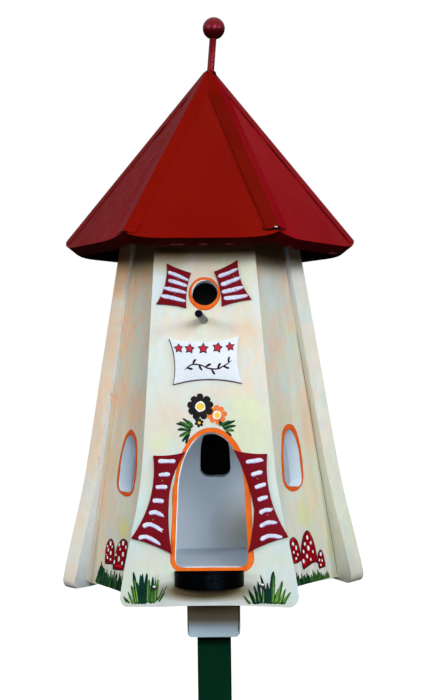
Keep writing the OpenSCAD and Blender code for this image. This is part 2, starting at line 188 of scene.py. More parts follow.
# ---------------------------------------------------------------- paints
def wash_paint(name, seed, base, cool, warm, yellow, amounts, inner=None, spots=(), value=0.06,
               side_light_tones=(), streaks=0.35, tilt=24, top=None, foot=None, flecks=(0.35, 0.45, 0.30), chamber_shade_spots=(),
               painted_shade_spots=(), white_tone=((0.76, 0.82, 0.88), (0.82, 0.87, 0.93)), smears=()):
    """House paint dabbed on in several thin tones that run into each other:
    peach mostly in the upper half, yellow-green mostly below, bluish white here and there.
    inner is (matrix, depth, limit): below that depth under the face it is white.
    facing gives (direction, colour, amount) for single sides of the board: painted light and shade, one side lighter or
    darker as the light falls on it.
    top is (from, to, colour): painted shade under the eaves, a brown darkening towards the top; foot is a list of
    (height, tone) stops, painted shade towards the bottom; flecks are the amounts of small bluish, orange and green
    dabs;
    rooms are spots of tone on the white inside, painted shade in the chamber; dirt gives (centre, radius, colour) of
    places darkened by painted shadow and shade; smears are spots laid over everything."""
    m, nt, b = new_mat(name)
    t = Tree(nt)
    o = seed * 3.7
    a_cool, a_warm, a_yellow = amounts
    height = t.math("MULTIPLY", t.math("SUBTRACT", t.dot((0, 0, 1)), BODY_Z / 1000), 2.2)
    hair = t.noise(1.0, 4, 0.62, vec=t.mapping(scale=(230, 230, 26), loc=(o, 0, 0), rot=(0, rad(tilt * .4), 0)))
    brush = t.noise(1.0, 3, 0.55, vec=t.mapping(scale=(62, 62, 26), loc=(0, o, 0), rot=(rad(20), rad(38), 0)), dist=0.8)
    soft = t.ramp(brush, [(0.32, 0.60), (0.60, 1.0)])

    def cloud(scale, loc, lo, hi, dist, rot=0.0):
        n = t.noise(1.0, 3, 0.52, vec=t.mapping(scale=scale, loc=loc, rot=(0, rad(rot), 0)), dist=dist)
        return t.ramp(n, [(lo, 0.0), (hi, 1.0)], "EASE")

    fc = cloud((13, 13, 6), (o, o * .3, 1.1), 0.42, 0.62, 0.5)
    fw_ = cloud((27, 27, 14), (o * .7, 4.0, o), 0.45, 0.64, 1.4, 32)
    fs = cloud((44, 44, 20), (1.7, o, o * 1.3), 0.53, 0.68, 1.2, 40)
    fy = cloud((20, 20, 12), (2.0, o, o * .5), 0.48, 0.68, 0.8)
    up = t.ramp(height, [(0.20, 0.30), (0.62, 1.0)])
    down = t.ramp(height, [(0.30, 1.0), (0.80, 0.35)])
    col = t.mix(t.math("MULTIPLY", fc, a_cool), base, cool)
    col = t.mix(t.math("MULTIPLY", t.math("MULTIPLY", fy, down), a_yellow), col, yellow)
    col = t.mix(t.math("MULTIPLY", t.math("MULTIPLY", t.math("MULTIPLY", fw_, soft), up), a_warm), col, warm)
    strong = tuple(w * k for w, k in zip(warm, (1.0, .84, .70)))
    col = t.mix(t.math("MULTIPLY", t.math("MULTIPLY", t.math("MULTIPLY", fs, soft), up), streaks * a_warm), col, strong)
    turn = (rad(15), rad(tilt + 20), 0)
    f = t.ramp(t.noise(1.0, 3, 0.58, vec=t.mapping(scale=(40, 40, 27), loc=(o, 3.1, 5.0), rot=turn), dist=1.0), [(0.46, 0.0), (0.66, 1.0)])
    col = t.mix(t.math("MULTIPLY", f, flecks[0]), col, (0.62, 0.735, 0.78))
    f = t.ramp(t.noise(1.0, 3, 0.58, vec=t.mapping(scale=(34, 34, 22), loc=(6.0, o, 1.0), rot=turn), dist=1.2), [(0.46, 0.0), (0.66, 1.0)])
    col = t.mix(t.math("MULTIPLY", t.math("MULTIPLY", f, up), flecks[1]), col, warm)
    f = t.ramp(t.noise(1.0, 3, 0.58, vec=t.mapping(scale=(36, 36, 24), loc=(2.0, 8.0, o), rot=turn), dist=1.0), [(0.48, 0.0), (0.66, 1.0)])
    col = t.mix(t.math("MULTIPLY", f, flecks[2]), col, (0.68, 0.76, 0.52))
    for centre, radius, colour, amount in spots:
        f = t.math("MULTIPLY", t.math("MULTIPLY", t.spot(centre, radius, 1.5), soft), amount)
        col = t.mix(f, col, colour)
    if top:
        lo_z, hi_z, colour = top
        k = t.math("DIVIDE", t.math("SUBTRACT", t.dot((0, 0, 1)), lo_z), hi_z - lo_z)
        col = t.mix(1.0, col, t.mix(t.ramp(k, [(0.0, 0.0), (1.0, 1.0)], "EASE"), (1, 1, 1), colour), "MULTIPLY")
    for centre, radius, colour in painted_shade_spots:
        col = t.mix(t.spot(centre, radius, 2.0), col, t.mix(1.0, col, colour, "MULTIPLY"))
    if foot:
        k = t.math("DIVIDE", t.math("SUBTRACT", t.dot((0, 0, 1)), BODY_Z / 1000), 0.5)
        col = t.mix(1.0, col, t.ramp(k, [(z / 500, tone) for z, tone in foot]), "MULTIPLY")
    for direction, colour, amount in side_light_tones:
        f = t.ramp(t.dot(tuple(direction), vec=t.normal()), [(0.60, 0.0), (0.80, 1.0)])
        col = t.mix(t.math("MULTIPLY", f, amount), col, colour)
    for centre, radius, colour, amount in smears:
        f = t.math("MULTIPLY", t.spot(centre, radius, 1.4), t.ramp(t.noise(120, 3, 0.6), [(0.42, 0.25), (0.60, 1.0)]))
        col = t.mix(t.math("MULTIPLY", f, amount), col, colour)
    lo = 1.0 - value
    col = t.mix(1.0, col, t.ramp(brush, [(0.36, (lo, lo, lo)), (0.60, (1.0, 1.0, 1.0))]), "MULTIPLY")
    fine = t.ramp(t.noise(260, 3, 0.6), [(0.30, (0.95, 0.95, 0.94)), (0.65, (1.0, 1.0, 1.0))])
    col = t.mix(0.6, col, fine, "MULTIPLY")
    if inner:
        matrix, depth, limit = inner
        n, d = plane_of(matrix)
        under = t.math("ADD", t.dot(tuple(n)), d + depth)
        mask = t.math("LESS_THAN", under, 0.0)
        if limit:
            side, dist = limit
            u = t.math("ABSOLUTE", t.dot(tuple(side)))
            mask = t.math("MULTIPLY", mask, t.math("LESS_THAN", u, dist))
        white = t.mix(t.noise(30, 3), *white_tone)
        for centre, radius, colour, amount in chamber_shade_spots:
            white = t.mix(t.math("MULTIPLY", t.spot(centre, radius, 1.3), amount), white, colour)
        low = t.math("GREATER_THAN", t.dot((0, 0, 1)), 1.012)
        col = t.mix(t.math("MULTIPLY", mask, low), col, white)
    t.put(b.inputs["Base Color"], col)
    t.put(b.inputs["Roughness"], t.ramp(hair, [(0.3, 0.45), (0.7, 0.65)]))
    b.inputs["Specular IOR Level"].default_value = 0.2
    h = t.math("ADD", hair, t.math("MULTIPLY", t.noise(420, 2), 0.35))
    t.put(b.inputs["Normal"], t.bump(h, 0.30, 0.0005))
    return m


def paint_tone(t, o, dark, light):
    """Cloudy tone between two colours with a fine grain."""
    cloud = t.noise(1.0, 3, 0.5, vec=t.mapping(scale=(11, 11, 8), loc=(o, 1, o)))
    fine = t.noise(380, 3, 0.6)
    col = t.mix(t.ramp(cloud, [(0.3, 0.0), (0.7, 1.0)]), dark, light)
    shade = t.ramp(fine, [(0.25, (0.84, 0.84, 0.84)), (0.6, (1, 1, 1))])
    return t.mix(0.7, col, shade, "MULTIPLY"), fine


def gloss_paint(name, seed, dark, light, rough=(0.28, 0.45), grain=(120, 120, 30),
                streak=None, coat=0.0, bump=0.25, spec=0.1, face_of=None, edge=0.35, under=0.02, tint=None, shade_by_height=None,
                worn_spots_and_sheen=(), dull=None):
    """Solid oil paint over wood: cloudy colour, brush marks, fine grain.
    With face_of, a face matrix, the paint is dark where it turns away from that face, as painted shade:
    edge on its cut edges, under on its underside. dip is (from, to, stops), painted shade as a tone by height;
    tint colours the shine; chips are ragged spots over the colour, worn paint on the eaves and a painted sheen on the
    ledge; dull, a direction, takes the shine off the faces that look that way."""
    m, nt, b = new_mat(name)
    t = Tree(nt)
    o = seed * 2.3
    col, fine = paint_tone(t, o, dark, light)
    marks = t.noise(1.0, 5, 0.65, vec=t.mapping(scale=grain, loc=(o, o, 0)))
    if streak:
        colour, amount, vec_scale, rot = streak
        s = t.noise(1.0, 5, 0.7, vec=t.mapping(scale=vec_scale, rot=rot, loc=(o, 0, 0)), dist=0.3)
        col = t.mix(t.math("MULTIPLY", t.ramp(s, [(0.45, 0.0), (0.72, 1.0)]), amount), col, colour)
    if face_of is not None:
        n, d = plane_of(face_of)
        f = t.dot(tuple(n), vec=t.normal())
        e = t.mix(t.noise(60, 3, 0.6), (edge * .7,) * 3, (edge * 1.25,) * 3)
        k = t.mix(t.ramp(f, [(0.55, 0.0), (0.80, 1.0)]), e, (1, 1, 1))
        k = t.mix(t.ramp(t.math("MULTIPLY", f, -1.0), [(0.45, 0.0), (0.70, 1.0)]), k, (under,) * 3)
        col = t.mix(1.0, col, k, "MULTIPLY")
    if shade_by_height:
        lo_z, hi_z, stops = shade_by_height
        k = t.math("DIVIDE", t.math("SUBTRACT", t.dot((0, 0, 1)), lo_z), hi_z - lo_z)
        col = t.mix(1.0, col, t.ramp(k, stops), "MULTIPLY")
    for centre, radius, colour, amount in worn_spots_and_sheen:
        f = t.math("MULTIPLY", t.spot(centre, radius, 1.2), t.ramp(t.noise(520, 3, 0.6), [(0.42, 0.0), (0.56, 1.0)]))
        col = t.mix(t.math("MULTIPLY", f, amount), col, colour)
    t.put(b.inputs["Base Color"], col)
    t.put(b.inputs["Roughness"], t.ramp(marks, [(0.3, rough[0]), (0.7, rough[1])]))
    if dull:
        t.put(b.inputs["Specular IOR Level"], t.ramp(t.dot(dull, vec=t.normal()), [(0.25, (spec,) * 3), (0.55, (0, 0, 0))]))
    else:
        b.inputs["Specular IOR Level"].default_value = spec
    if tint:
        b.inputs["Specular Tint"].default_value = (*tint, 1)
    b.inputs["Coat Weight"].default_value = coat
    b.inputs["Coat Roughness"].default_value = 0.25
    h = t.math("ADD", marks, t.math("MULTIPLY", fine, 0.3))
    t.put(b.inputs["Normal"], t.bump(h, bump, 0.0006))
    return m


def cap_paint(name, seed, bearing, left, right, spec=0.015, tip=False, fade=None):
    """Ridge cap: each wing in the colour of its own side. Left and right are
    (dark, light) pairs, seen from outside."""
    m, nt, b = new_mat(name)
    t = Tree(nt)
    a, fine = paint_tone(t, seed, *left)
    c, _ = paint_tone(t, seed + .7, *right)
    if fade:
        # painted over towards the top, where the wing runs into the roof face
        lo_z, hi_z, colour = fade
        k = t.math("DIVIDE", t.math("SUBTRACT", t.dot((0, 0, 1)), lo_z), hi_z - lo_z)
        a = t.mix(t.ramp(k, [(0.0, 0.0), (1.0, 1.0)], "EASE"), a, colour)
    T = ROOF_SET.to_3x3() @ Vector((cos(rad(bearing)), sin(rad(bearing)), 0))
    f = t.dot(tuple(T), vec=t.normal())
    col = t.mix(t.ramp(t.math("ADD", f, 0.5), [(0.44, 0.0), (0.56, 1.0)]), a, c)
    # painted shade: the side caps darken to near black near the top, round the foot of the rod
    if tip:
        col = t.mix(t.ramp(t.math("MULTIPLY", t.math("SUBTRACT", t.dot((0, 0, 1)), 1.684), 100.0), [(0.0, 0.0), (0.6, 0.92)]), col, (0.012, 0.002, 0.002))
    t.put(b.inputs["Base Color"], col)
    t.put(b.inputs["Roughness"], t.ramp(fine, [(0.3, 0.32), (0.7, 0.46)]))
    b.inputs["Specular IOR Level"].default_value = spec
    b.inputs["Specular Tint"].default_value = (1.0, 0.16, 0.24, 1)
    t.put(b.inputs["Normal"], t.bump(fine, 0.15, 0.0004))
    return m


def hand_paint(name, seed, dark, light, rough=0.45, scale=160, spec=0.2):
    """Artist's paint laid on thinly by hand, a little streaky."""
    m, nt, b = new_mat(name)
    t = Tree(nt)
    s = t.noise(1.0, 4, 0.6, vec=t.mapping(scale=(scale, scale, scale * .45), loc=(seed, seed, 0)))
    blot = t.noise(70, 3, 0.5)
    f = t.math("ADD", t.math("MULTIPLY", s, 0.55), t.math("MULTIPLY", blot, 0.45))
    t.put(b.inputs["Base Color"], t.mix(t.ramp(f, [(0.35, 0.0), (0.62, 1.0)]), dark, light))
    t.put(b.inputs["Roughness"], t.ramp(s, [(0.3, rough - 0.08), (0.7, rough + 0.1)]))
    b.inputs["Specular IOR Level"].default_value = spec
    t.put(b.inputs["Normal"], t.bump(s, 0.3, 0.0004))
    return m


def metal(name, colour, rough, seed=0.0, metallic=1.0):
    m, nt, b = new_mat(name)
    t = Tree(nt)
    s = t.noise(900, 3, 0.6)
    t.put(b.inputs["Base Color"], t.mix(t.ramp(s, [(0.3, 0.0), (0.7, 1.0)]),
                                        tuple(c * .6 for c in colour), colour))
    t.put(b.inputs["Roughness"], t.ramp(s, [(0.3, rough - 0.1), (0.7, rough + 0.15)]))
    b.inputs["Metallic"].default_value = metallic
    return m


M = {}


def across(az):
    return Vector((cos(rad(az)), sin(rad(az)), 0))


def on(matrix, u, v):
    return tuple(matrix @ Vector((u, v, 0)))


PEACH, AMBER, LEMON, MINT = (0.88, 0.66, 0.49), (0.86, 0.54, 0.33), (0.79, 0.80, 0.47), (0.73, 0.81, 0.79)
M["front"] = wash_paint("paint_front", 1.0, (0.78, 0.745, 0.63), (0.75, 0.80, 0.765), (0.87, 0.67, 0.52), (0.77, 0.78, 0.54),
    (0.80, 0.60, 0.50), inner=(FRONT, 0.0006, (across(0), 0.058)), value=0.04, streaks=0.5, tilt=28,
    # painted shade: brown darkening under the eaves
    top=(1.428, 1.446, (0.64, 0.43, 0.29)), flecks=(0.42, 0.54, 0.36),
    # painted shadow under the ledge, and painted shade at the top left under the eaves
    painted_shade_spots=[(on(FRONT, -5, 22), (0.078, 0.09, 0.015), (0.27, 0.18, 0.09)),
          (on(FRONT, -56, 444), (0.040, 0.09, 0.026), (0.80, 0.66, 0.50))],
    # painted shade: darker and cooler towards the bottom
    foot=[(0, (0.80, 0.88, 0.92)), (120, (0.80, 0.90, 0.94)), (250, (0.90, 0.96, 0.99)), (380, (0.98, 1.0, 1.0))],
    spots=[(on(FRONT, 47, 222), (0.034, 0.09, 0.050), LEMON, 0.75),
           (on(FRONT, 44, 252), (0.030, 0.09, 0.024), LEMON, 0.6),
           (on(FRONT, -45, 238), (0.040, 0.09, 0.030), PEACH, 0.50),
           (on(FRONT, -61, 206), (0.024, 0.09, 0.022), LEMON, 0.55),
           (on(FRONT, 46, 340), (0.036, 0.09, 0.024), PEACH, 0.65),
           (on(FRONT, 60, 352), (0.022, 0.09, 0.016), AMBER, 0.35),
           (on(FRONT, -38, 350), (0.036, 0.09, 0.020), PEACH, 0.45),
           (on(FRONT, 36, 276), (0.030, 0.09, 0.024), PEACH, 0.40),
           # painted shade and light near the foot: a yellow-brown fade of the ledge's shadow, then a lighter band along
           # the bottom edge
           (on(FRONT, 4, 14), (0.050, 0.09, 0.008), (0.74, 0.69, 0.38), 0.6),
           (on(FRONT, 0, 3), (0.120, 0.09, 0.011), (0.94, 0.88, 0.85), 0.8),
           (on(FRONT, -60, 412), (0.026, 0.09, 0.050), (0.72, 0.80, 0.85), 0.8),
           (on(FRONT, 48, 428), (0.030, 0.09, 0.026), LEMON, 0.45),
           (on(FRONT, -6, 300), (0.060, 0.09, 0.036), (0.74, 0.79, 0.76), 0.6),
           (on(FRONT, -80, 62), (0.050, 0.09, 0.026), PEACH, 0.40),
           (on(FRONT, -8, 426), (0.044, 0.09, 0.018), AMBER, 0.40),
           (on(FRONT, 16, 436), (0.030, 0.09, 0.012), LEMON, 0.45),
           (on(FRONT, -94, 120), (0.024, 0.09, 0.100), MINT, 0.7),
           (on(FRONT, -68, 330), (0.020, 0.09, 0.130), MINT, 0.65),
           (on(FRONT, -52, 430), (0.040, 0.09, 0.030), MINT, 0.7),
           (on(FRONT, 66, 395), (0.018, 0.09, 0.060), MINT, 0.8),
           (on(FRONT, 82, 130), (0.024, 0.09, 0.070), MINT, 0.5)])
M["side"] = wash_paint("paint_back_left", 2.0, (0.80, 0.735, 0.61), (0.76, 0.80, 0.78), (0.88, 0.60, 0.41), (0.76, 0.75, 0.50),
    (0.45, 0.75, 0.30), inner=(face(240, BOARD_A, BOARD_LEAN), 0.0185, (across(240), 0.062)), streaks=0.7, tilt=10,
    # painted light: the board's inner side is made bright and bluish
    side_light_tones=[(face(240, BOARD_A, BOARD_LEAN).to_3x3() @ Vector((0, 0, -1000)), (0.82, 0.90, 0.95), 0.95)],
    # painted shade: brown darkening under the eaves
    top=(1.370, 1.444, (0.86, 0.60, 0.37)), flecks=(0.40, 0.75, 0.30),
    smears=[((-0.1315, -0.003, 1.262), (0.007, 0.009, 0.020), (0.86, 0.42, 0.20), 0.9),
            ((-0.1519, -0.0082, 1.173), (0.0016, 0.004, 0.0075), (0.66, 0.14, 0.08), 0.95)],
    spots=[((-0.155, -0.02, 1.33), (0.06, 0.06, 0.09), AMBER, 0.55), ((-0.150, -0.03, 1.20), (0.06, 0.06, 0.06), AMBER, 0.40)])
M["side_r"] = wash_paint("paint_back_right", 2.6, (0.79, 0.77, 0.665), (0.76, 0.83, 0.80), (0.88, 0.70, 0.56), (0.76, 0.78, 0.56),
    (0.70, 0.45, 0.30), inner=(face(120, BOARD_A, BOARD_LEAN), 0.0185, (across(120), 0.062)), tilt=10,
    # painted light and shade: the board's inner side is given a lit olive-beige tone
    side_light_tones=[(face(120, BOARD_A, BOARD_LEAN).to_3x3() @ Vector((0, 0, -1000)), (0.86, 0.87, 0.76), 0.85)],
    smears=[((0.150, 0.0, 1.385), (0.05, 0.06, 0.060), (0.70, 0.81, 0.79), 0.7),
            ((0.134, 0.004, 1.235), (0.010, 0.012, 0.050), (0.84, 0.66, 0.46), 0.6)],
    # painted shade: brown darkening under the eaves
    top=(1.425, 1.447, (0.84, 0.72, 0.56)), flecks=(0.60, 0.60, 0.40),
    # painted shade: darker towards the bottom
    foot=[(0, (0.82, 0.80, 0.74)), (90, (0.90, 0.90, 0.86)), (200, (1, 1, 1))])
M["wall_l"] = wash_paint("paint_left_window_wall", 4.0, (0.72, 0.675, 0.535), (0.68, 0.71, 0.61), (0.88, 0.55, 0.35), (0.70, 0.71, 0.42),
    (0.60, 0.80, 0.60), inner=(WALL_L, 0.0006, None), streaks=0.8, tilt=14,
    # painted light: the white inside the left window is tinted bluish
    # painted shade: brown darkening under the eaves
    top=(1.395, 1.444, (0.84, 0.62, 0.40)), flecks=(0.50, 0.85, 0.45), white_tone=((0.62, 0.73, 0.84), (0.68, 0.79, 0.90)),
    spots=[(on(WALL_L, -12, 244), (0.04, 0.04, 0.04), AMBER, 0.5),
           (on(WALL_L, -46, 190), (0.022, 0.022, 0.05), AMBER, 0.6),
           (on(WALL_L, -64, 120), (0.012, 0.012, 0.09), AMBER, 0.7),
           (on(WALL_L, 2, 88), (0.022, 0.022, 0.024), (0.74, 0.72, 0.22), 0.75)])
M["wall_r"] = wash_paint("paint_right_window_wall", 5.3, (0.71, 0.70, 0.575), (0.69, 0.76, 0.68), (0.88, 0.60, 0.42), (0.69, 0.73, 0.44),
    (0.65, 0.65, 0.65), inner=(WALL_R, 0.0006, None), streaks=0.6, tilt=14,
    # painted light: the white inside the right window is tinted bluish and lighter, as if lit
    # painted shade: brown darkening under the eaves
    top=(1.424, 1.444, (0.60, 0.40, 0.22)), flecks=(0.65, 0.75, 0.50), white_tone=((0.76, 0.87, 0.97), (0.81, 0.91, 1.0)),
    spots=[(on(WALL_R, 52, 214), (0.024, 0.024, 0.045), AMBER, 0.75),
           (on(WALL_R, 14, 104), (0.026, 0.026, 0.022), (0.72, 0.74, 0.30), 0.7),
           (on(WALL_R, -10, 330), (0.024, 0.024, 0.035), AMBER, 0.45),
           (on(WALL_R, 0, 392), (0.050, 0.050, 0.040), (0.67, 0.78, 0.76), 0.75),
           (on(WALL_R, 44, 130), (0.024, 0.024, 0.05), (0.86, 0.68, 0.50), 0.5)])
M["wall_b"] = wash_paint("paint_rear_window_wall", 6.1, (0.72, 0.70, 0.57), (0.69, 0.75, 0.67), PEACH, (0.70, 0.73, 0.45),
    (0.60, 0.60, 0.45), inner=(face(180, WALL_A, WALL_LEAN), 0.0006, None),
    # painted shade: brown darkening under the eaves
    top=(1.400, 1.442, (0.66, 0.48, 0.30)),
    # painted shade inside the chamber, black where it is seen through the entrance hole
    chamber_shade_spots=[((0.0, 0.11, 1.235), (0.14, 0.08, 0.085), (0.56, 0.49, 0.41), 0.75),
           ((0.046, 0.12, 1.066), (0.060, 0.08, 0.060), (0.45, 0.42, 0.35), 0.85),
           ((0.0, 0.08, 1.450), (0.12, 0.10, 0.120), (0.012, 0.012, 0.012), 1.0)])
# The whites here, and the white inside the walls, are white paint tinted partly bluish: painted light for the bluish
# daylight.
M["white"] = gloss_paint("white_paint", 3.0, (0.74, 0.765, 0.785), (0.82, 0.84, 0.86),
                         rough=(0.4, 0.55), bump=0.15, spec=0.1,
                         # painted shade: the socket darkens under the body, bluish towards its foot as painted skylight
                         shade_by_height=(0.944, 0.980, [(0.0, (0.72, 0.92, 1.0)), (0.20, (0.67, 0.83, 0.96)), (0.38, (0.47, 0.49, 0.48)),
                                             (0.52, (0.29, 0.24, 0.165)), (0.80, (0.375, 0.28, 0.17)), (1.0, (0.40, 0.29, 0.18))]))
M["inner_white"] = gloss_paint("inner_white_paint", 3.3, (0.76, 0.82, 0.88), (0.82, 0.87, 0.93),
                               rough=(0.45, 0.6), bump=0.12, spec=0.15)
M["sign"] = gloss_paint("sign_white", 3.4, (0.74, 0.80, 0.86), (0.80, 0.85, 0.91),
                        rough=(0.4, 0.55), grain=(40, 40, 420), bump=0.35, spec=0.15)
# Painted light: the roof faces in view are copies of one red, each toned as it looks lit from its side, crimson from
# the sky's reflection on the right, greyer on the left.
F_DK, F_LT = (0.180, 0.0038, 0.0016), (0.210, 0.0056, 0.0024)
R_DK, R_LT = (0.235, 0.0030, 0.0055), (0.278, 0.0050, 0.0080)
L_DK, L_LT = (0.165, 0.0040, 0.0055), (0.205, 0.0080, 0.0095)
RED_SHINE = (1.0, 0.16, 0.24)
CHIP = (0.46, 0.10, 0.10)
# painted shade: the eave edges and undersides of the roof faces are darkened (edge, under)
M["roof_f"] = gloss_paint("roof_red_front", 1.0, F_DK, F_LT, bump=0.3, spec=0.02, face_of=roof_face(0), edge=0.17, tint=RED_SHINE,
                          worn_spots_and_sheen=[(tuple(roof_face(0) @ Vector((u, -10.5, -12.6))), (r, 0.008, 0.0012), CHIP, 0.85)
                                 for u, r in ((-36.0, 0.0046), (-30.0, 0.0050), (-24.5, 0.0040), (0.0, 0.0040), (4.0, 0.0040), (33.5, 0.0036), (37.5, 0.0036))])
M["roof_r"] = gloss_paint("roof_red_right", 2.0, R_DK, R_LT, bump=0.3, spec=0.008, face_of=roof_face(60), edge=0.21, tint=RED_SHINE,
                          worn_spots_and_sheen=[(tuple(roof_face(60) @ Vector((u, -10.0, -15.8))), (0.0036, 0.0036, 0.0020), CHIP, 0.85)
                                 for u in (-64, -59, 43, 48, 53, 58)])
M["roof_l"] = gloss_paint("roof_red_left", 3.0, L_DK, L_LT, bump=0.35, spec=0.010, face_of=roof_face(-60), edge=0.24, tint=RED_SHINE,
    # brush streaks, pinkish grey: partly the paint's own marks, partly a painted sheen
    streak=((0.215, 0.034, 0.038), 0.40, (60, 60, 9), (0, rad(35), 0)))
M["roof_b"] = gloss_paint("roof_red_back", 4.0, (0.20, 0.005, 0.004), (0.24, 0.008, 0.006), bump=0.2, spec=0.008, tint=RED_SHINE,
                          face_of=roof_face(180), edge=0.25)
M["roof_br"] = gloss_paint("roof_red_back_right", 4.3, (0.20, 0.005, 0.004), (0.24, 0.008, 0.006), bump=0.2, spec=0.008, tint=RED_SHINE,
                           face_of=roof_face(120), edge=0.25)
M["roof_bl"] = gloss_paint("roof_red_back_left", 4.6, (0.20, 0.005, 0.004), (0.24, 0.008, 0.006), bump=0.2, spec=0.008, tint=RED_SHINE,
                           face_of=roof_face(240), edge=0.25)
BROWN = ((0.132, 0.0040, 0.0018), (0.160, 0.0058, 0.0026))
# PINKISH: a painted-sheen tone for a cap wing
PINKISH = ((0.185, 0.022, 0.024), (0.235, 0.034, 0.036))
PLAIN = ((0.185, 0.006, 0.006), (0.225, 0.009, 0.009))
# painted light: each cap wing takes the lit tone of its own roof face
M["cap_fr"] = cap_paint("cap_front_right", 5.0, 30, BROWN, ((0.225, 0.0035, 0.0070), (0.260, 0.0055, 0.0100)),
                        fade=(1.652, 1.674, (0.185, 0.0045, 0.0020)), spec=0.0)
# painted sheen: pinkish-grey left wing of the front-left cap
M["cap_fl"] = cap_paint("cap_front_left", 5.2, -30, ((0.180, 0.016, 0.020), (0.225, 0.026, 0.032)), (F_DK, F_LT), spec=0.004)
M["cap_r"] = cap_paint("cap_right", 5.4, 90, ((0.20, 0.004, 0.007), (0.24, 0.006, 0.010)), PLAIN, tip=True)
M["cap_l"] = cap_paint("cap_left", 5.6, 270, PLAIN, ((0.15, 0.006, 0.008), (0.19, 0.010, 0.012)), tip=True)
M["cap_br"] = cap_paint("cap_back_right", 5.7, 150, PLAIN, PLAIN)
M["cap_bl"] = cap_paint("cap_back_left", 5.8, 210, PLAIN, PLAIN)
M["finial"] = gloss_paint("finial_red", 6.0, (0.080, 0.0018, 0.0025), (0.110, 0.0030, 0.0045),
                          rough=(0.18, 0.28), grain=(420, 420, 420), bump=0.3, spec=0.60, tint=(1.0, 0.09, 0.14))
M["ball"] = gloss_paint("finial_ball_red", 6.4, (0.115, 0.0026, 0.0034), (0.150, 0.0040, 0.0060),
                        rough=(0.30, 0.38), grain=(420, 420, 420), bump=0.2, spec=0.95, tint=(1.0, 0.14, 0.25),
                        # painted shade: darker underside of the ball
                        shade_by_height=(1.740, 1.770, [(0.0, (0.10, 0.07, 0.07)), (0.30, (0.32, 0.26, 0.26)), (0.62, (1, 1, 1))]))
M["black"] = gloss_paint("ledge_black", 7.0, (0.0004, 0.0005, 0.0006), (0.0012, 0.0013, 0.0016),
                         rough=(0.34, 0.5), grain=(700, 60, 30), bump=0.4, spec=0.012, tint=(0.55, 0.80, 1.0), dull=(0, 0, 1),
                         # painted sheen: bluish band down the middle of the ledge's front
                         worn_spots_and_sheen=[((0.008, -0.21, 1.03), (0.014, 0.3, 0.05), (0.009, 0.016, 0.024), 0.6)])
M["perch"] = gloss_paint("perch_black", 7.4, (0.003, 0.004, 0.008), (0.006, 0.007, 0.012),
                         rough=(0.24, 0.36), grain=(60, 400, 60), bump=0.3, spec=0.55, dull=(0, -1, 0))
M["cover"] = gloss_paint("cover_black", 7.7, (0.0015, 0.0015, 0.0015), (0.003, 0.003, 0.003),
                         rough=(0.6, 0.8), bump=0.2, spec=0.02)
M["green"] = gloss_paint("post_green", 8.0, (0.001, 0.021, 0.009), (0.0025, 0.031, 0.014),
                         rough=(0.42, 0.6), grain=(220, 220, 22), bump=0.35, spec=0.02, tint=(0.3, 1.0, 0.6),
                         # painted shadow: top of the post darkened under the socket
                         shade_by_height=(0.925, 0.945, [(0.0, (1, 1, 1)), (0.50, (0.12, 0.07, 0.07)), (1.0, (0.05, 0.03, 0.03))]))
M["burgundy"] = gloss_paint("shutter_burgundy", 9.0, (0.150, 0.0042, 0.0080), (0.185, 0.0062, 0.0125),
                            rough=(0.3, 0.42), bump=0.15, spec=0.08, tint=(1.0, 0.14, 0.22))
M["orange"] = hand_paint("orange_frame", 10.0, (0.72, 0.105, 0.006), (0.82, 0.165, 0.012), spec=0.05)
M["orange_rim"] = hand_paint("orange_frame_rim", 10.5, (0.56, 0.050, 0.004), (0.68, 0.080, 0.008), spec=0.05)
M["orange_deep"] = hand_paint("deep_orange_frame", 11.0, (0.56, 0.055, 0.006), (0.68, 0.090, 0.010), spec=0.05)
M["orange_win"] = hand_paint("bright_orange_frame", 11.5, (0.68, 0.085, 0.007), (0.78, 0.13, 0.012), spec=0.05)
M["stroke"] = hand_paint("white_stroke", 12.0, (0.52, 0.56, 0.74), (0.74, 0.78, 0.88), scale=420)
M["stroke_edge"] = hand_paint("lavender_stroke_edge", 12.5, (0.22, 0.12, 0.34), (0.40, 0.36, 0.60), scale=420)
M["dot"] = hand_paint("white_dot", 13.0, (0.82, 0.86, 0.92), (0.90, 0.93, 0.97))
M["star"] = hand_paint("star_red", 14.0, (0.40, 0.004, 0.020), (0.58, 0.006, 0.035), scale=500)
M["ink"] = hand_paint("dark_ink", 15.0, (0.016, 0.005, 0.016), (0.038, 0.012, 0.034), spec=0.04)
# painted shadow line under the sign's lower and left edges
M["edge_line"] = hand_paint("dark_edge_line", 15.5, (0.060, 0.020, 0.022), (0.11, 0.045, 0.045))
M["toad"] = hand_paint("toadstool_red", 16.0, (0.15, 0.002, 0.0035), (0.33, 0.004, 0.008), scale=300, spec=0.0)
M["toad_hi"] = hand_paint("toadstool_light_red", 16.5, (0.42, 0.005, 0.013), (0.54, 0.008, 0.022), spec=0.02)
M["stalk"] = hand_paint("stalk_white", 17.0, (0.62, 0.62, 0.58), (0.82, 0.82, 0.80), scale=400)
M["grass_d"] = hand_paint("grass_dark", 18.0, (0.001, 0.020, 0.014), (0.004, 0.040, 0.020), scale=300, spec=0.03)
M["grass_m"] = hand_paint("grass_mid", 19.0, (0.012, 0.075, 0.015), (0.040, 0.140, 0.022), scale=300, spec=0.05)
M["grass_l"] = hand_paint("grass_light", 20.0, (0.10, 0.24, 0.030), (0.22, 0.40, 0.050), scale=300, spec=0.08)
M["petal_o"] = hand_paint("petal_orange", 21.0, (0.66, 0.12, 0.012), (0.84, 0.22, 0.03), scale=300)
M["petal_k"] = hand_paint("petal_dark", 22.0, (0.005, 0.004, 0.005), (0.018, 0.014, 0.015), scale=300, spec=0.04)
M["petal_b"] = hand_paint("petal_blue_grey", 22.5, (0.10, 0.16, 0.26), (0.30, 0.38, 0.50), scale=300)
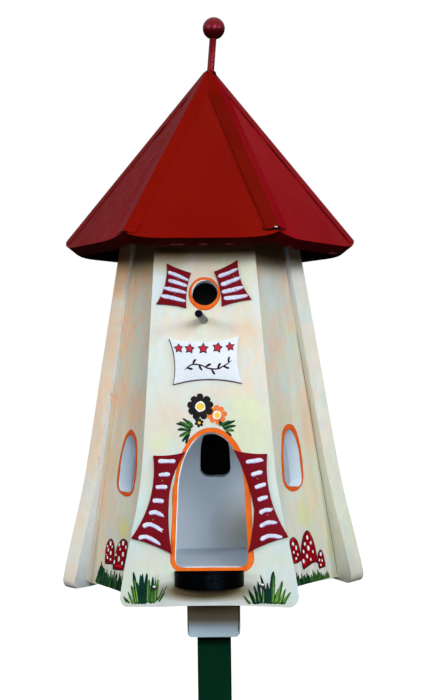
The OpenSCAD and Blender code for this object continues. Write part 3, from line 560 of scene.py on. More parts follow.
M["eye"] = hand_paint("flower_yellow", 23.0, (0.78, 0.42, 0.02), (0.90, 0.60, 0.06), scale=300)
M["brass"] = hand_paint("painted_nail", 24.0, (0.10, 0.055, 0.02), (0.26, 0.17, 0.06), scale=900)
M["steel"] = metal("screw_steel", (0.80, 0.78, 0.72), 0.3)
M["nail"] = metal("dark_nail", (0.03, 0.008, 0.006), 0.5, metallic=0.4)
M["gap"] = hand_paint("joint_shadow", 25.0, (0.030, 0.022, 0.016), (0.10, 0.08, 0.06), scale=300)
# painted glint colour for the lifted cap end
M["bare"] = hand_paint("bare_metal_edge", 26.0, (0.55, 0.62, 0.70), (0.80, 0.84, 0.88), scale=500)
M["chip"] = hand_paint("worn_wood", 27.0, (0.12, 0.035, 0.030), (0.28, 0.12, 0.10), scale=500)

# ---------------------------------------------------------------- CAD nodes
def paint_node(name, mat, bevel=0.0012, seg=3, angle=32):
    o = NODES[name]
    o.data.materials.clear()
    o.data.materials.append(mat)
    for p in o.data.polygons:
        p.material_index = 0
    if bevel:
        w = o.modifiers.new("weld", "WELD")
        w.merge_threshold = 0.00002
        bv = o.modifiers.new("edge", "BEVEL")
        bv.width = bevel
        bv.segments = seg
        bv.limit_method = "ANGLE"
        bv.angle_limit = rad(angle)
        bv.use_clamp_overlap = True
        bv.harden_normals = False
    for p in o.data.polygons:
        p.use_smooth = True
    return o


def smooth_by_angle(o, angle=32):
    """Sharp edges over the angle, smooth shading below it."""
    if hasattr(o.data, "set_sharp_from_angle"):
        o.data.set_sharp_from_angle(angle=rad(angle))


ROOF_MAT = {"front": "roof_f", "front_right": "roof_r", "front_left": "roof_l",
            "back": "roof_b", "back_right": "roof_br", "back_left": "roof_bl"}
CAP_MAT = {"front_right": "cap_fr", "front_left": "cap_fl", "right": "cap_r", "left": "cap_l",
           "back_right": "cap_br", "back_left": "cap_bl"}
for n in NODES:
    if n.startswith("roof_panel_"):
        paint_node(n, M[ROOF_MAT[n[11:]]], 0.0016)
    elif n.startswith("ridge_cap_"):
        paint_node(n, M[CAP_MAT[n[10:]]], 0.0003, 2, 25)
    elif n.startswith(("foot_", "brace_")) or n == "post":
        paint_node(n, M["green"], 0.0020)
    elif n.startswith("socket_"):
        paint_node(n, M["white"], 0.0012)
    elif n in ("floor_panel", "nest_floor"):
        paint_node(n, M["inner_white"], 0.0006)
    elif n.startswith(("upper_shutter", "lower_shutter")):
        paint_node(n, M["burgundy"], 0.0005, 2, 28)
    elif n == "sign_plate":
        paint_node(n, M["sign"], 0.0004, 2, 28)
    elif n == "rear_window_cover":
        paint_node(n, M["cover"], 0.0008, 2)
    elif n == "perch_peg":
        paint_node(n, M["perch"], 0.0005)
    elif n == "feeding_ledge":
        paint_node(n, M["black"], 0.0008)
    elif n.startswith("finial"):
        paint_node(n, M["ball" if n == "finial_ball" else "finial"], 0.0003, 2, 60)
for n, k in (("front_wall", "front"), ("back_left_wall", "side"), ("back_right_wall", "side_r"),
             ("left_window_wall", "wall_l"), ("right_window_wall", "wall_r"),
             ("rear_window_wall", "wall_b")):
    paint_node(n, M[k], 0.0009)
for o in NODES.values():
    smooth_by_angle(o)

# ---------------------------------------------------------------- paint shapes
def body_piece(name, bm, mat, smooth=False):
    me = bpy.data.meshes.new(name)
    bm.to_mesh(me)
    bm.free()
    me.materials.append(mat)
    for p in me.polygons:
        p.use_smooth = smooth
    o = bpy.data.objects.new(name, me)
    scene.collection.objects.link(o)
    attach(o, "root")
    return o


def add_patch(bm, matrix, loop, w0, w1):
    """A flat patch with a little thickness, from a closed outline in face millimetres."""
    lo = [bm.verts.new(matrix @ Vector((u, v, w0))) for u, v in loop]
    hi = [bm.verts.new(matrix @ Vector((u, v, w1))) for u, v in loop]
    top = bm.faces.new(hi)
    bot = bm.faces.new(lo[::-1])
    n = len(loop)
    for i in range(n):
        j = (i + 1) % n
        bm.faces.new((lo[i], lo[j], hi[j], hi[i]))
    bmesh.ops.triangulate(bm, faces=[top, bot])


def add_ring(bm, matrix, inner, outer, w0, w1):
    """A band between two outlines with the same number of points."""
    n = len(inner)
    v = [[bm.verts.new(matrix @ Vector((p[0], p[1], w))) for p in loop]
         for loop in (inner, outer) for w in (w0, w1)]
    ilo, ihi, olo, ohi = v
    for i in range(n):
        j = (i + 1) % n
        bm.faces.new((ihi[i], ohi[i], ohi[j], ihi[j]))
        bm.faces.new((ilo[j], olo[j], olo[i], ilo[i]))
        bm.faces.new((olo[i], olo[j], ohi[j], ohi[i]))
        bm.faces.new((ihi[i], ihi[j], ilo[j], ilo[i]))


def finish_bm(bm):
    bmesh.ops.recalc_face_normals(bm, faces=bm.faces[:])
    return bm


def opening(w, ws, hs, rise, r, x=0.0, v0=0.0, grow=0.0, grow_v=None, n=10):
    """Arched opening outline, grown outwards, as in the CAD."""
    gv = grow if grow_v is None else grow_v
    W, WS, R = w / 2 + grow, ws / 2 + grow, r + grow
    pts = []
    for i in range(n + 1):
        a = rad(-90 + 90 * i / n)
        pts.append((W - R + R * cos(a), -gv + R * (gv + r) / R + (gv + r) * sin(a)))
    side = pts[:]
    for i in range(0, 3 * n):
        a = rad(90 * i / (3 * n))
        side.append((WS * cos(a), hs + (rise + gv) * sin(a)))
    full = side + [(0.0, hs + rise + gv)] + [(-u, v) for u, v in reversed(side)]
    return [(u + x, v + v0) for u, v in full]


def wobble(pts, amp, seed, freq=5):
    """Hand-drawn unsteadiness along an outline."""
    rnd = random.Random(seed)
    ph = [(rnd.uniform(0, 2 * pi), rnd.uniform(0, 2 * pi), rnd.randint(2, freq), rnd.uniform(.4, 1))
          for _ in range(5)]
    n = len(pts)
    out = []
    for i, (u, v) in enumerate(pts):
        s = 2 * pi * i / n
        du = sum(a * sin(k * s + p) for p, q, k, a in ph) * amp / 2.4
        dv = sum(a * cos(k * s + q) for p, q, k, a in ph) * amp / 2.4
        out.append((u + du, v + dv))
    return out


def dash(u0, v0, u1, v1, width, seed, bow=0.0, n=14, taper=(0.35, 0.15)):
    """A single brush dash from one point to another, uneven and tapered."""
    rnd = random.Random(seed)
    d = Vector((u1 - u0, v1 - v0))
    s = Vector((-d.y, d.x)).normalized()
    ph = rnd.uniform(0, 6)
    up, dn = [], []
    for i in range(n + 1):
        t = i / n
        e = min(1.0, t / taper[0]) if taper[0] else 1.0
        f = min(1.0, (1 - t) / taper[1]) if taper[1] else 1.0
        h = width / 2 * math.sqrt(max(0.0, 1 - (1 - e) ** 2)) * math.sqrt(max(0.0, 1 - (1 - f) ** 2))
        h *= 0.86 + 0.14 * sin(ph + 9 * t) + rnd.uniform(-.06, .06)
        c = Vector((u0, v0)) + d * t + s * (bow * 4 * t * (1 - t))
        h = max(h, 0.06)
        up.append(tuple(c + s * h))
        dn.append(tuple(c - s * h * rnd.uniform(.85, 1.1)))
    return dn + up[::-1]


def blade(u, v, lean, h, w, seed, curl=0.0, n=8):
    """A grass blade: pointed top, blunt foot."""
    rnd = random.Random(seed)
    left, right = [], []
    for i in range(n + 1):
        t = i / n
        cu = u + lean * t + curl * t * t
        cv = v + h * t
        half = w / 2 * (1 - t) ** 0.75 * (0.75 + 0.5 * t * (1 - t) * 4 * .5)
        half = max(half, 0.07) * rnd.uniform(.9, 1.1)
        left.append((cu - half, cv + rnd.uniform(-.2, .2)))
        right.append((cu + half, cv + rnd.uniform(-.2, .2)))
    return right + left[::-1]


def disc(u, v, r, n=20, ry=None, seed=None, rot=0.0):
    ry = r if ry is None else ry
    pts = []
    for i in range(n):
        a = 2 * pi * i / n
        x, y = r * cos(a), ry * sin(a)
        pts.append((u + x * cos(rot) - y * sin(rot), v + x * sin(rot) + y * cos(rot)))
    return wobble(pts, min(r, ry) * .09, seed) if seed is not None else pts


def curve(pts, per=7, closed=False):
    """Smooth line through points (Catmull-Rom)."""
    P = [Vector(p) for p in pts]
    n = len(P)
    out = []
    for i in range(n if closed else n - 1):
        if closed:
            p0, p1, p2, p3 = P[i - 1], P[i], P[(i + 1) % n], P[(i + 2) % n]
        else:
            p0, p1, p2, p3 = P[max(i - 1, 0)], P[i], P[i + 1], P[min(i + 2, n - 1)]
        for k in range(per):
            t = k / per
            out.append(0.5 * ((2 * p1) + (p2 - p0) * t + (2 * p0 - 5 * p1 + 4 * p2 - p3) * t * t
                              + (3 * p1 - p0 - 3 * p2 + p3) * t ** 3))
    if not closed:
        out.append(P[-1])
    return out


def polar(loop, centre, n=128):
    """A closed outline resampled at equal angles about a point inside it."""
    c = Vector(centre)
    L = [Vector(p) - c for p in loop]
    out = []
    for k in range(n):
        a = 2 * pi * k / n
        d = Vector((cos(a), sin(a)))
        best = 0.0
        for i in range(len(L)):
            p, q = L[i], L[(i + 1) % len(L)]
            e = q - p
            det = d.x * -e.y + d.y * e.x
            if abs(det) < 1e-9:
                continue
            r = (p.x * -e.y + p.y * e.x) / det
            s = (d.x * p.y - d.y * p.x) / det
            if r > best and -1e-6 <= s <= 1 + 1e-6:
                best = r
        out.append(tuple(c + d * best))
    return out


def between(inner, outer, f, amp, seed):
    """An outline at a share f of the way from the inner to the outer one, drawn unsteadily."""
    rnd = random.Random(seed)
    ph = [(rnd.uniform(0, 2 * pi), rnd.randint(2, 19)) for _ in range(7)]
    n = len(inner)
    out = []
    for i, (a, b) in enumerate(zip(inner, outer)):
        s = 2 * pi * i / n
        g = min(1.0, max(0.0, f + amp * sum(sin(k * s + p) for p, k in ph) / 2.6))
        out.append((a[0] + (b[0] - a[0]) * g, a[1] + (b[1] - a[1]) * g))
    return out


def mark(bm, matrix, pts, width, w0, w1, seed, taper=(0.25, 0.35), rough=0.07, per=7, smooth_pts=True, power=0.5):
    """A brush mark along a line: closed strip of quads, tapered at its ends."""
    rnd = random.Random(seed)
    C = curve(pts, per) if len(pts) > 1 and smooth_pts else [Vector(p) for p in pts]
    m = max(2, int(6 * per / max(1, len(C) - 1)))
    if len(C) < 12:
        D = []
        for a, b in zip(C, C[1:]):
            for k in range(m):
                D.append(a.lerp(b, k / m))
        D.append(C[-1])
        C = D
    n = len(C) - 1
    rows = []
    ph = rnd.uniform(0, 6)
    for i, p in enumerate(C):
        t = i / n
        e = min(1.0, t / taper[0]) if taper[0] else 1.0
        f = min(1.0, (1 - t) / taper[1]) if taper[1] else 1.0
        h = width / 2 * (1 - (1 - e) ** 2) ** power * (1 - (1 - f) ** 2) ** power
        h *= 0.94 + 0.06 * sin(ph + 8 * t)
        d = (C[min(i + 1, n)] - C[max(i - 1, 0)]).normalized()
        s = Vector((-d.y, d.x))
        hl = max(0.05, h * (1 + rnd.uniform(-rough, rough)))
        hr = max(0.05, h * (1 + rnd.uniform(-rough, rough)))
        rows.append([bm.verts.new(matrix @ Vector((q.x, q.y, w)))
                     for q, w in ((p + s * hl, w0), (p + s * hl, w1), (p - s * hr, w1), (p - s * hr, w0))])
    for a, b in zip(rows, rows[1:]):
        for i in range(4):
            j = (i + 1) % 4
            bm.faces.new((a[i], a[j], b[j], b[i]))
    bm.faces.new(rows[0][::-1])
    bm.faces.new(rows[-1])


def turned(pts, centre, angle):
    c, s = cos(rad(angle)), sin(rad(angle))
    return [(centre[0] + (u - centre[0]) * c - (v - centre[1]) * s,
             centre[1] + (u - centre[0]) * s + (v - centre[1]) * c) for u, v in pts]


# ---------------------------------------------------------------- painted rings
def painted_ring(name, matrix, inner, outer, centre, base, band, lo, hi, seed, wob=0.35, amp=0.07):
    """An orange frame: a darker ring with a lighter band brushed over it."""
    a = polar(inner, centre)
    b = wobble(polar(outer, centre), wob, seed, 9)
    bm = bmesh.new()
    add_ring(bm, matrix, a, b, 0.05, 0.26)
    body_piece(name + "_rim", finish_bm(bm), base)
    bm = bmesh.new()
    add_ring(bm, matrix, between(a, b, lo, amp, seed + 1), between(a, b, hi, amp, seed + 2), 0.20, 0.36)
    body_piece(name, finish_bm(bm), band)


hole = [(HOLE_X + HOLE_R * cos(2 * pi * i / 96), HOLE_V + HOLE_R * sin(2 * pi * i / 96)) for i in range(96)]
ring = [(-3.3 + 20.0 * cos(2 * pi * i / 96), 395.2 + 21.6 * sin(2 * pi * i / 96)) for i in range(96)]
painted_ring("painted_entrance_ring", FRONT, hole, ring, (HOLE_X, HOLE_V), M["orange_rim"], M["orange"], 0.0, 0.80, 11)

door_in = opening(DOOR_W, DOOR_WS, DOOR_HS, DOOR_RISE, 10, DOOR_X, DOOR_V)
door_out = [(u - (0.9 if u < DOOR_X and 150 < v < 205 else 0.0) * -1 if u < DOOR_X else u, v) for u, v in
            opening(DOOR_W, DOOR_WS, DOOR_HS, DOOR_RISE, 10, DOOR_X + .6, DOOR_V, grow=6.5, grow_v=6.0)]
painted_ring("painted_doorway_frame", FRONT, door_in, door_out, (DOOR_X, 125), M["orange_rim"], M["orange"], 0.0, 0.88, 12, 0.5, 0.05)

win = opening(WIN_W, WIN_WS, WIN_HS, WIN_RISE, 12, -4, 136.5)
out_l = [(-3.6, 218.5), (1.2, 217), (11, 210.5), (16.2, 204), (18.9, 197), (22.2, 184), (23.9, 171), (24.2, 158),
         (22.4, 144.5), (18.7, 137.2), (11.3, 132), (-1, 130.4), (-8.6, 131.0), (-17.5, 133.4), (-25.8, 137.4), (-31.6, 144.5),
         (-33.8, 158), (-32, 171), (-29.5, 184), (-25.9, 197), (-23.0, 204), (-18.8, 210.5), (-9.3, 217)]
painted_ring("painted_left_window_frame", WALL_L, win, curve(out_l, 5, True), (-4, 170), M["orange_deep"], M["orange_win"], 0.30, 0.78, 21, 0.3, 0.10)
win = turned(opening(WIN_W, WIN_WS, WIN_HS, WIN_RISE, 12, 0, 141.5), (0, 179), -WIN_TURN)
out_r = [(3.2, 223.6), (13.7, 221), (20.3, 214.6), (23.6, 208), (26.8, 195), (27.7, 182), (27.9, 169), (26.6, 156), (24, 148.5),
         (18.6, 142), (5.6, 136.2), (-5, 135.2), (-14.9, 137.0), (-25.4, 142.6), (-29.4, 149.5), (-30.4, 156), (-29.2, 169), (-26.9, 182),
         (-23, 195), (-18.9, 208), (-15.3, 214.6), (-7.3, 221)]
painted_ring("painted_right_window_frame", WALL_R, win, curve(out_r, 5, True), (0, 176), M["orange_deep"], M["orange_win"], 0.22, 0.90, 22, 0.3, 0.08)

# ---------------------------------------------------------------- white brush marks on the shutters
SH, SG = 3.5, 3.0
bm, bu = bmesh.new(), bmesh.new()


def shutter_mark(pts, width, seed, taper, ragged=0):
    """Bluish white over a thin lavender edge; ragged adds bristle lines at one end."""
    mark(bu, FRONT, [(u, v - .35) for u, v in pts], width, SH + .02, SH + .12, seed, taper, 0.10)
    mark(bm, FRONT, [(u, v + .25) for u, v in pts], width * .84, SH + .02, SH + .26, seed + 1, taper, 0.16)
    rnd = random.Random(seed)
    a, b = (Vector(pts[-1]), Vector(pts[-2])) if ragged > 0 else (Vector(pts[0]), Vector(pts[1]))
    for k in range(abs(ragged)):
        d = (b - a).normalized()
        s = Vector((-d.y, d.x)) * rnd.uniform(-.36, .36) * width
        p = a + s - d * rnd.uniform(.2, 1.6)
        q = p + d * rnd.uniform(4.5, 8.0) - s * .3
        mark(bm, FRONT, [tuple(p), tuple(q)], rnd.uniform(.7, 1.2), SH + .02, SH + .22, seed + 3 + k, (.3, .3))


for k, (p, q, wd, tp) in enumerate((
        ((-49.6, 423.4), (-22.6, 411.8), 4.9, (.22, .75)), ((-49.3, 412.8), (-24.3, 404.4), 5.2, (.22, .60)),
        ((-55.5, 402.9), (-25.5, 395.7), 5.4, (.40, .50)), ((-59.1, 393.1), (-26.9, 385.1), 5.4, (.30, .60)),
        ((14.3, 416.2), (39.9, 426.4), 5.0, (.22, .65)), ((17.7, 405.6), (43.0, 415.2), 5.5, (.22, .45)),
        ((18.9, 396.2), (47.0, 402.7), 5.8, (.22, .50)), ((21.3, 388.2), (52.3, 391.5), 5.9, (.22, .55)))):
    mid = ((p[0] + q[0]) / 2, (p[1] + q[1]) / 2 + (.5 if k < 4 else -.4))
    shutter_mark([p, mid, q], wd, 100 + 9 * k, tp)
for k, pts in enumerate((
        [(-62.8, 182.1), (-52, 182.2), (-40.8, 181.8)], [(-62.1, 164.9), (-55, 165.5), (-47.7, 165.5)],
        [(-66, 149.5), (-58.5, 150.1), (-51.1, 149.7)], [(-69.8, 132.8), (-62.7, 133.0), (-55.7, 132)],
        [(-74.4, 117.2), (-66, 118.6), (-55.9, 113.8)], [(-82.3, 101.3), (-72.1, 103.6), (-57.8, 96)],
        [(-87.6, 86.8), (-76.7, 88.2), (-60.4, 79.1)])):
    shutter_mark(pts, 5.4 if k != 1 else 5.0, 200 + 9 * k, (.20, .26) if k < 4 else (.16, .42), 2 if k > 3 else 0)
for k, pts in enumerate((
        [(46.9, 179.6), (57.9, 181.3), (68.2, 182.4)], [(53.4, 163.7), (60.5, 165.9), (67.7, 167.3)],
        [(57.7, 147.8), (64.8, 150.4), (71.9, 152.1)], [(61, 132.4), (67.5, 134.8), (73.9, 136.3)],
        [(63.1, 116.1), (69.9, 119.8), (78.9, 120.1)], [(63.3, 99.6), (72.7, 104.3), (84.3, 104.2)],
        [(63.8, 83.2), (75.5, 88.3), (90.9, 86.2)])):
    shutter_mark(pts, 5.4, 300 + 9 * k, (.24, .30) if k < 4 else (.18, .34), 2 if k > 3 or k == 0 else 0)
body_piece("painted_shutter_mark_edges", finish_bm(bu), M["stroke_edge"])
body_piece("painted_shutter_marks", finish_bm(bm), M["stroke"])

# ---------------------------------------------------------------- sign: stars and a plain sprig
def star(u, v, r, turn, seed, inner=0.46, uneven=0.06):
    rnd = random.Random(seed)
    k = [rnd.uniform(1 - uneven, 1 + uneven) for _ in range(10)]
    return [(u + r * (1 if i % 2 == 0 else inner) * k[i] * sin(turn + pi * i / 5),
             v + r * (1 if i % 2 == 0 else inner) * k[i] * cos(turn + pi * i / 5)) for i in range(10)]


bo, br = bmesh.new(), bmesh.new()
for k, (u, v, r, a) in enumerate(((-36.3, 324.6, 6.0, -.05), (-22.5, 324.0, 6.5, .12), (-5.2, 324.0, 7.1, .02),
                                  (12.9, 325.0, 6.8, .20), (28.9, 325.8, 6.0, -.15))):
    add_patch(bo, FRONT, star(u, v, r * 1.10, a, 40 + k, .56), SG + .03, SG + .2)
    add_patch(br, FRONT, star(u, v + .15, r * 0.80, a, 40 + k, .52), SG + .2, SG + .36)
body_piece("painted_star_outlines", finish_bm(bo), M["ink"])
body_piece("painted_stars", finish_bm(br), M["star"])
bm = bmesh.new()
stem = [(-29, 297), (-20, 303.5), (-9, 303), (2, 298.5), (13, 298), (23, 303), (31, 308.5)]
mark(bm, FRONT, stem, 1.9, SG + .03, SG + .24, 50, (.2, .3), .12)
SC = curve(stem, 7)
for k, f in enumerate((.08, .20, .32, .44, .56, .68, .80, .91)):
    i = int(f * (len(SC) - 1))
    p, d = SC[i], (SC[i + 1] - SC[i - 1]).normalized()
    a = math.atan2(d.y, d.x) + (1.0 if k % 2 else -1.0)
    l = 8.6 - 2.2 * abs(f - .5)
    m = (p.x + l * .55 * cos(a), p.y + l * .55 * sin(a))
    q = (p.x + l * cos(a * .88 + .0), p.y + l * sin(a * .88 + .0))
    mark(bm, FRONT, [tuple(p), m, q], 3.1, SG + .03, SG + .26, 60 + k, (.55, .60), .08)
body_piece("painted_sign_sprig", finish_bm(bm), M["ink"])

# ---------------------------------------------------------------- flowers over the doorway
bk, bo_, be, bl, bm_, bd, bw = (bmesh.new() for _ in range(7))


def flower(bp, u, v, r, petals, seed, wd, turn=0.0, w=0.3, squash=1.0):
    rnd = random.Random(seed)
    for i in range(petals):
        a = turn + 2 * pi * i / petals + rnd.uniform(-.06, .06)
        l = r * rnd.uniform(.94, 1.06)
        z = .02 * (i % 3)
        p = [(u + f * l * cos(a), v + f * l * squash * sin(a)) for f in (.16, .60, 1.0)]
        mark(bp, FRONT, p, wd, .05 + z, w + z, seed + i, (.70, .42), .05)


flower(bk, -9.5, 250.5, 17.0, 9, 300, 9.4, .17)
flower(bo_, 11.5, 239.5, 12.6, 8, 330, 7.8, .1)
flower(bk, -11.0, 230.0, 6.0, 6, 345, 4.0, .3, .26)
for u, v, r in ((-9.5, 250.5, 5.0), (11.5, 239.5, 3.8)):
    add_patch(bw, FRONT, disc(u, v, r + 1.5, 20, seed=int(r * 10)), .34, .46)
    add_patch(be, FRONT, disc(u, v, r, 18, seed=int(r * 11)), .46, .60)
add_patch(be, FRONT, disc(-11.0, 230.0, 1.9, 14, seed=9), .34, .46)
body_piece("painted_dark_flowers", finish_bm(bk), M["petal_k"])
body_piece("painted_orange_flower", finish_bm(bo_), M["petal_o"])
body_piece("painted_flower_rings", finish_bm(bw), M["dot"])
body_piece("painted_flower_middles", finish_bm(be), M["eye"])

# leaves left and right of the flowers, on the doorway's shoulders
for k, (p, q, wd) in enumerate((
        ((-21.0, 223.0), (-40.2, 229.5), 4.2), ((-20.5, 223.5), (-37.0, 231.6), 3.8), ((-19.5, 224.0), (-32.0, 236.0), 3.8),
        ((-21.0, 220.5), (-38.5, 221.5), 4.4), ((-22.0, 218.5), (-36.5, 213.0), 4.6), ((-23.0, 216.0), (-32.5, 206.5), 4.4),
        ((-24.5, 213.5), (-28.0, 203.6), 3.6), ((-18.5, 225.0), (-26.6, 233.5), 3.2))):
    mid = ((p[0] + q[0]) / 2, (p[1] + q[1]) / 2 + 1.2)
    z = .04 + .025 * (k % 4)
    mark((bd, bm_)[k % 3 == 1], FRONT, [p, mid, q], wd, z, z + .22, 400 + k, (.35, .70), .12)
for k, (p, q, wd) in enumerate((
        ((14.0, 226.0), (20.5, 236.5), 4.0), ((16.0, 225.5), (27.5, 232.0), 3.8), ((18.0, 224.0), (34.5, 232.5), 4.0),
        ((19.0, 222.0), (35.2, 226.0), 4.2), ((21.0, 220.0), (33.0, 219.5), 4.4), ((22.5, 217.5), (29.5, 212.8), 3.8),
        ((15.0, 227.5), (15.6, 236.0), 3.2))):
    mid = ((p[0] + q[0]) / 2, (p[1] + q[1]) / 2 + .8)
    z = .04 + .025 * (k % 4)
    mark((bd, bm_)[k % 3 == 1], FRONT, [p, mid, q], wd, z, z + .22, 430 + k, (.35, .70), .12)
for k, (p, q) in enumerate((((-24, 222.0), (-35, 224.5)), ((-24, 218.0), (-33, 212.5)), ((-22, 226), (-30, 231)),
                            ((20, 224.5), (30, 228.5)), ((22, 220.6), (30, 220.6)))):
    mark(bl, FRONT, [p, q], 1.1, .10, .38, 460 + k, (.5, .6))

# ---------------------------------------------------------------- grass
def grass_blade(bm, matrix, tip, base, wd, seed, bend=0.0, z=0.05, t=0.24):
    """A blade painted from its foot to a thin tip."""
    mid = ((tip[0] + base[0]) / 2 + bend, (tip[1] + base[1]) / 2)
    mark(bm, matrix, [base, mid, tip], wd, z, z + t, seed, (.12, 1.0), .10, power=.62)


LEFT_TUFT = (((-106.3, 15.8), (-101.2, 8.2), 3.8, 1), ((-100.8, 21.6), (-94.5, 6.2), 3.8, 1), ((-96.9, 29.2), (-90.6, 5.6), 5.6, 1),
             ((-94.0, 45.8), (-87.6, 6.0), 6.6, 0), ((-85.0, 42.0), (-84.0, 5.6), 7.2, 0), ((-82.8, 43.4), (-82.4, 5.8), 5.0, 0),
             ((-77.3, 44.2), (-79.0, 6.3), 6.8, 0), ((-74.4, 36.5), (-74.8, 7.6), 5.0, 1), ((-69.8, 39.6), (-71.6, 6.4), 6.0, 0),
             ((-66.0, 36.0), (-68.8, 6.6), 4.6, 1), ((-63.4, 36.3), (-66.4, 8.4), 4.4, 1), ((-56.9, 26.6), (-64.4, 10.4), 1.8, 0),
             ((-52.0, 28.6), (-62.6, 8.8), 2.4, 1), ((-54.4, 20.0), (-63.0, 8.6), 2.2, 0), ((-89.2, 33.0), (-86.6, 6.0), 4.4, 0),
             ((-104.0, 12.8), (-98.4, 7.4), 2.4, 0), ((-80.0, 30.0), (-80.6, 5.8), 5.6, 0), ((-71.6, 30.0), (-73.4, 6.6), 5.0, 0))
RIGHT_TUFT = (((41.7, 15.9), (50.6, 5.0), 3.6, 1), ((48.4, 22.7), (56.0, 4.8), 4.8, 0), ((55.1, 27.5), (60.6, 4.6), 5.2, 0),
              ((60.0, 32.7), (64.0, 5.0), 5.2, 0), ((63.2, 40.6), (70.6, 12.0), 4.4, 0), ((79.4, 45.0), (75.2, 4.4), 9.4, 0),
              ((80.2, 43.0), (78.4, 4.6), 4.6, 1), ((90.5, 33.0), (82.4, 4.6), 6.2, 1), ((94.0, 23.0), (86.4, 4.4), 4.8, 1),
              ((100.4, 19.2), (90.6, 4.4), 4.6, 1), ((66.4, 31.0), (67.6, 4.8), 5.6, 0), ((71.8, 31.0), (71.8, 4.6), 6.0, 0),
              ((86.0, 24.0), (80.2, 4.4), 5.0, 0), ((52.0, 18.0), (57.6, 4.6), 4.0, 0), ((95.0, 13.0), (88.4, 4.4), 3.0, 0))
for side, tuft in ((0, LEFT_TUFT), (50, RIGHT_TUFT)):
    for k, (tip, base, wd, tone) in enumerate(tuft):
        grass_blade((bd, bm_)[tone], FRONT, tip, base, wd, 500 + side + k, .4 * ((k * 7) % 3 - 1), .04 + .03 * (k % 4))
for k, (tip, base, wd) in enumerate((
        ((-92.6, 36.0), (-88.6, 8.0), 1.7), ((-94.2, 27.0), (-90.8, 7.6), 1.2), ((-98.4, 17.0), (-94.0, 7.4), 1.0),
        ((-75.6, 36.0), (-77.0, 9.0), 1.2), ((-70.8, 22.0), (-71.2, 8.0), 1.0), ((-66.0, 32.0), (-67.2, 8.6), 1.3),
        ((-62.0, 34.0), (-64.6, 14.0), 1.0), ((-66.6, 41.6), (-66.8, 33.0), .9), ((-63.0, 42.0), (-64.6, 33.0), .8),
        ((-60.6, 37.0), (-64.0, 30.0), .8), ((-57.6, 18.6), (-63.2, 9.4), 1.0), ((-101.6, 14.0), (-99.6, 9.0), .9),
        ((67.2, 22.8), (66.4, 6.4), 1.5), ((80.0, 36.0), (78.4, 7.0), 1.3), ((88.2, 29.0), (83.0, 8.0), 1.6),
        ((92.2, 20.6), (87.0, 6.4), 1.6), ((98.0, 17.0), (91.0, 6.4), 1.5), ((54.6, 16.0), (57.4, 7.0), 1.0),
        ((59.6, 22.0), (61.6, 8.0), 1.0), ((46.0, 12.0), (50.4, 6.8), .9), ((84.6, 24.0), (81.4, 6.0), 1.1))):
    grass_blade(bl, FRONT, tip, base, wd, 560 + k, 0.0, .20, .20)


def meadow(matrix, foot, tips, seed, tones, wide):
    """Close blades along a foot line, some reaching the given tips."""
    rnd = random.Random(seed)
    F = curve(foot, 6)
    for k, tip in enumerate(tips):
        near = min(F, key=lambda p: abs(p.x - tip[0] - rnd.uniform(-1, 1)))
        grass_blade((bd, bm_)[tones(tip[0]) > rnd.random()], matrix, tip, (near.x, near.y), wide * rnd.uniform(1.0, 1.4), seed + k, 0, .05 + .03 * (k % 3))
    n = int((F[-1].x - F[0].x) / 2.2)
    for k in range(n):
        t = (k + .5) / n
        p = F[min(len(F) - 1, int(t * (len(F) - 1) + .5))]
        top = min(tips, key=lambda q: abs(q[0] - p.x))
        h = (top[1] - p.y) * rnd.uniform(.50, .80)
        u = F[0].x + (F[-1].x - F[0].x) * t
        grass_blade((bd, bm_)[tones(u) > rnd.random()], matrix, (u + rnd.uniform(-1.5, 1.5), p.y + h), (u, p.y - .3), wide * rnd.uniform(.8, 1.25),
                    seed + 60 + k, 0, .05 + .03 * (k % 4))
        if rnd.random() < .4:
            grass_blade(bl if tones(u) > .5 else bm_, matrix, (u + rnd.uniform(-1.5, 1.5), p.y + h * .9), (u, p.y + 2), rnd.uniform(.8, 1.3),
                        seed + 160 + k, 0, .18, .20)


meadow(WALL_L, [(-68.5, 11.2), (-60, 9.7), (-48, 9.2), (-30, 9.1), (-10, 8.7), (10, 8.2), (28, 8.2)],
       [(-56.1, 40.6), (-58.8, 34), (-52.5, 36), (-47.2, 32.9), (-50, 34), (-62, 28), (-65.5, 20), (-42, 27.5), (-35.8, 31.7), (-39.8, 27.6), (-30, 27), (-22.9, 32.4),
        (-18, 27), (-12.3, 33.6), (-8, 27), (-4.7, 30.3), (3.6, 32.1), (8.3, 28.6), (14, 30), (20, 27), (26, 24)], 600, lambda u: .18, 6.0)
meadow(WALL_R, [(-27, 15.4), (-14, 14.9), (0, 14.9), (16, 14.8), (32, 14.8), (46, 14.9), (61, 15.0)],
       [(-23.6, 32.4), (-26.4, 25), (-19.7, 29.5), (-15, 24), (-10.9, 29.8), (-7, 26.5), (-3.7, 27.5), (3.5, 29.0), (7.4, 25.2), (14.4, 25.3), (19.8, 31.2), (24.9, 27.7),
        (28, 24), (33.5, 30.0), (37.3, 25.3), (42.2, 24.7), (48.4, 21.1), (58.5, 24.5), (61.0, 22.3)], 760, lambda u: .12 if u < 8 else .85, 4.8)
body_piece("painted_grass_dark", finish_bm(bd), M["grass_d"])
body_piece("painted_grass_mid", finish_bm(bm_), M["grass_m"])
body_piece("painted_grass_light", finish_bm(bl), M["grass_l"])

# ---------------------------------------------------------------- toadstools
def shrink(loop, d):
    """A closed outline moved inwards by about d millimetres."""
    n = len(loop)
    area2 = sum(loop[i][0] * loop[(i + 1) % n][1] - loop[(i + 1) % n][0] * loop[i][1] for i in range(n))
    sgn = 1 if area2 > 0 else -1
    out = []
    for i in range(n):
        a, b = Vector(loop[i - 1]), Vector(loop[(i + 1) % n])
        e = (b - a).normalized()
        s = Vector((-e.y, e.x)) * sgn
        out.append((loop[i][0] + s.x * d, loop[i][1] + s.y * d))
    return out


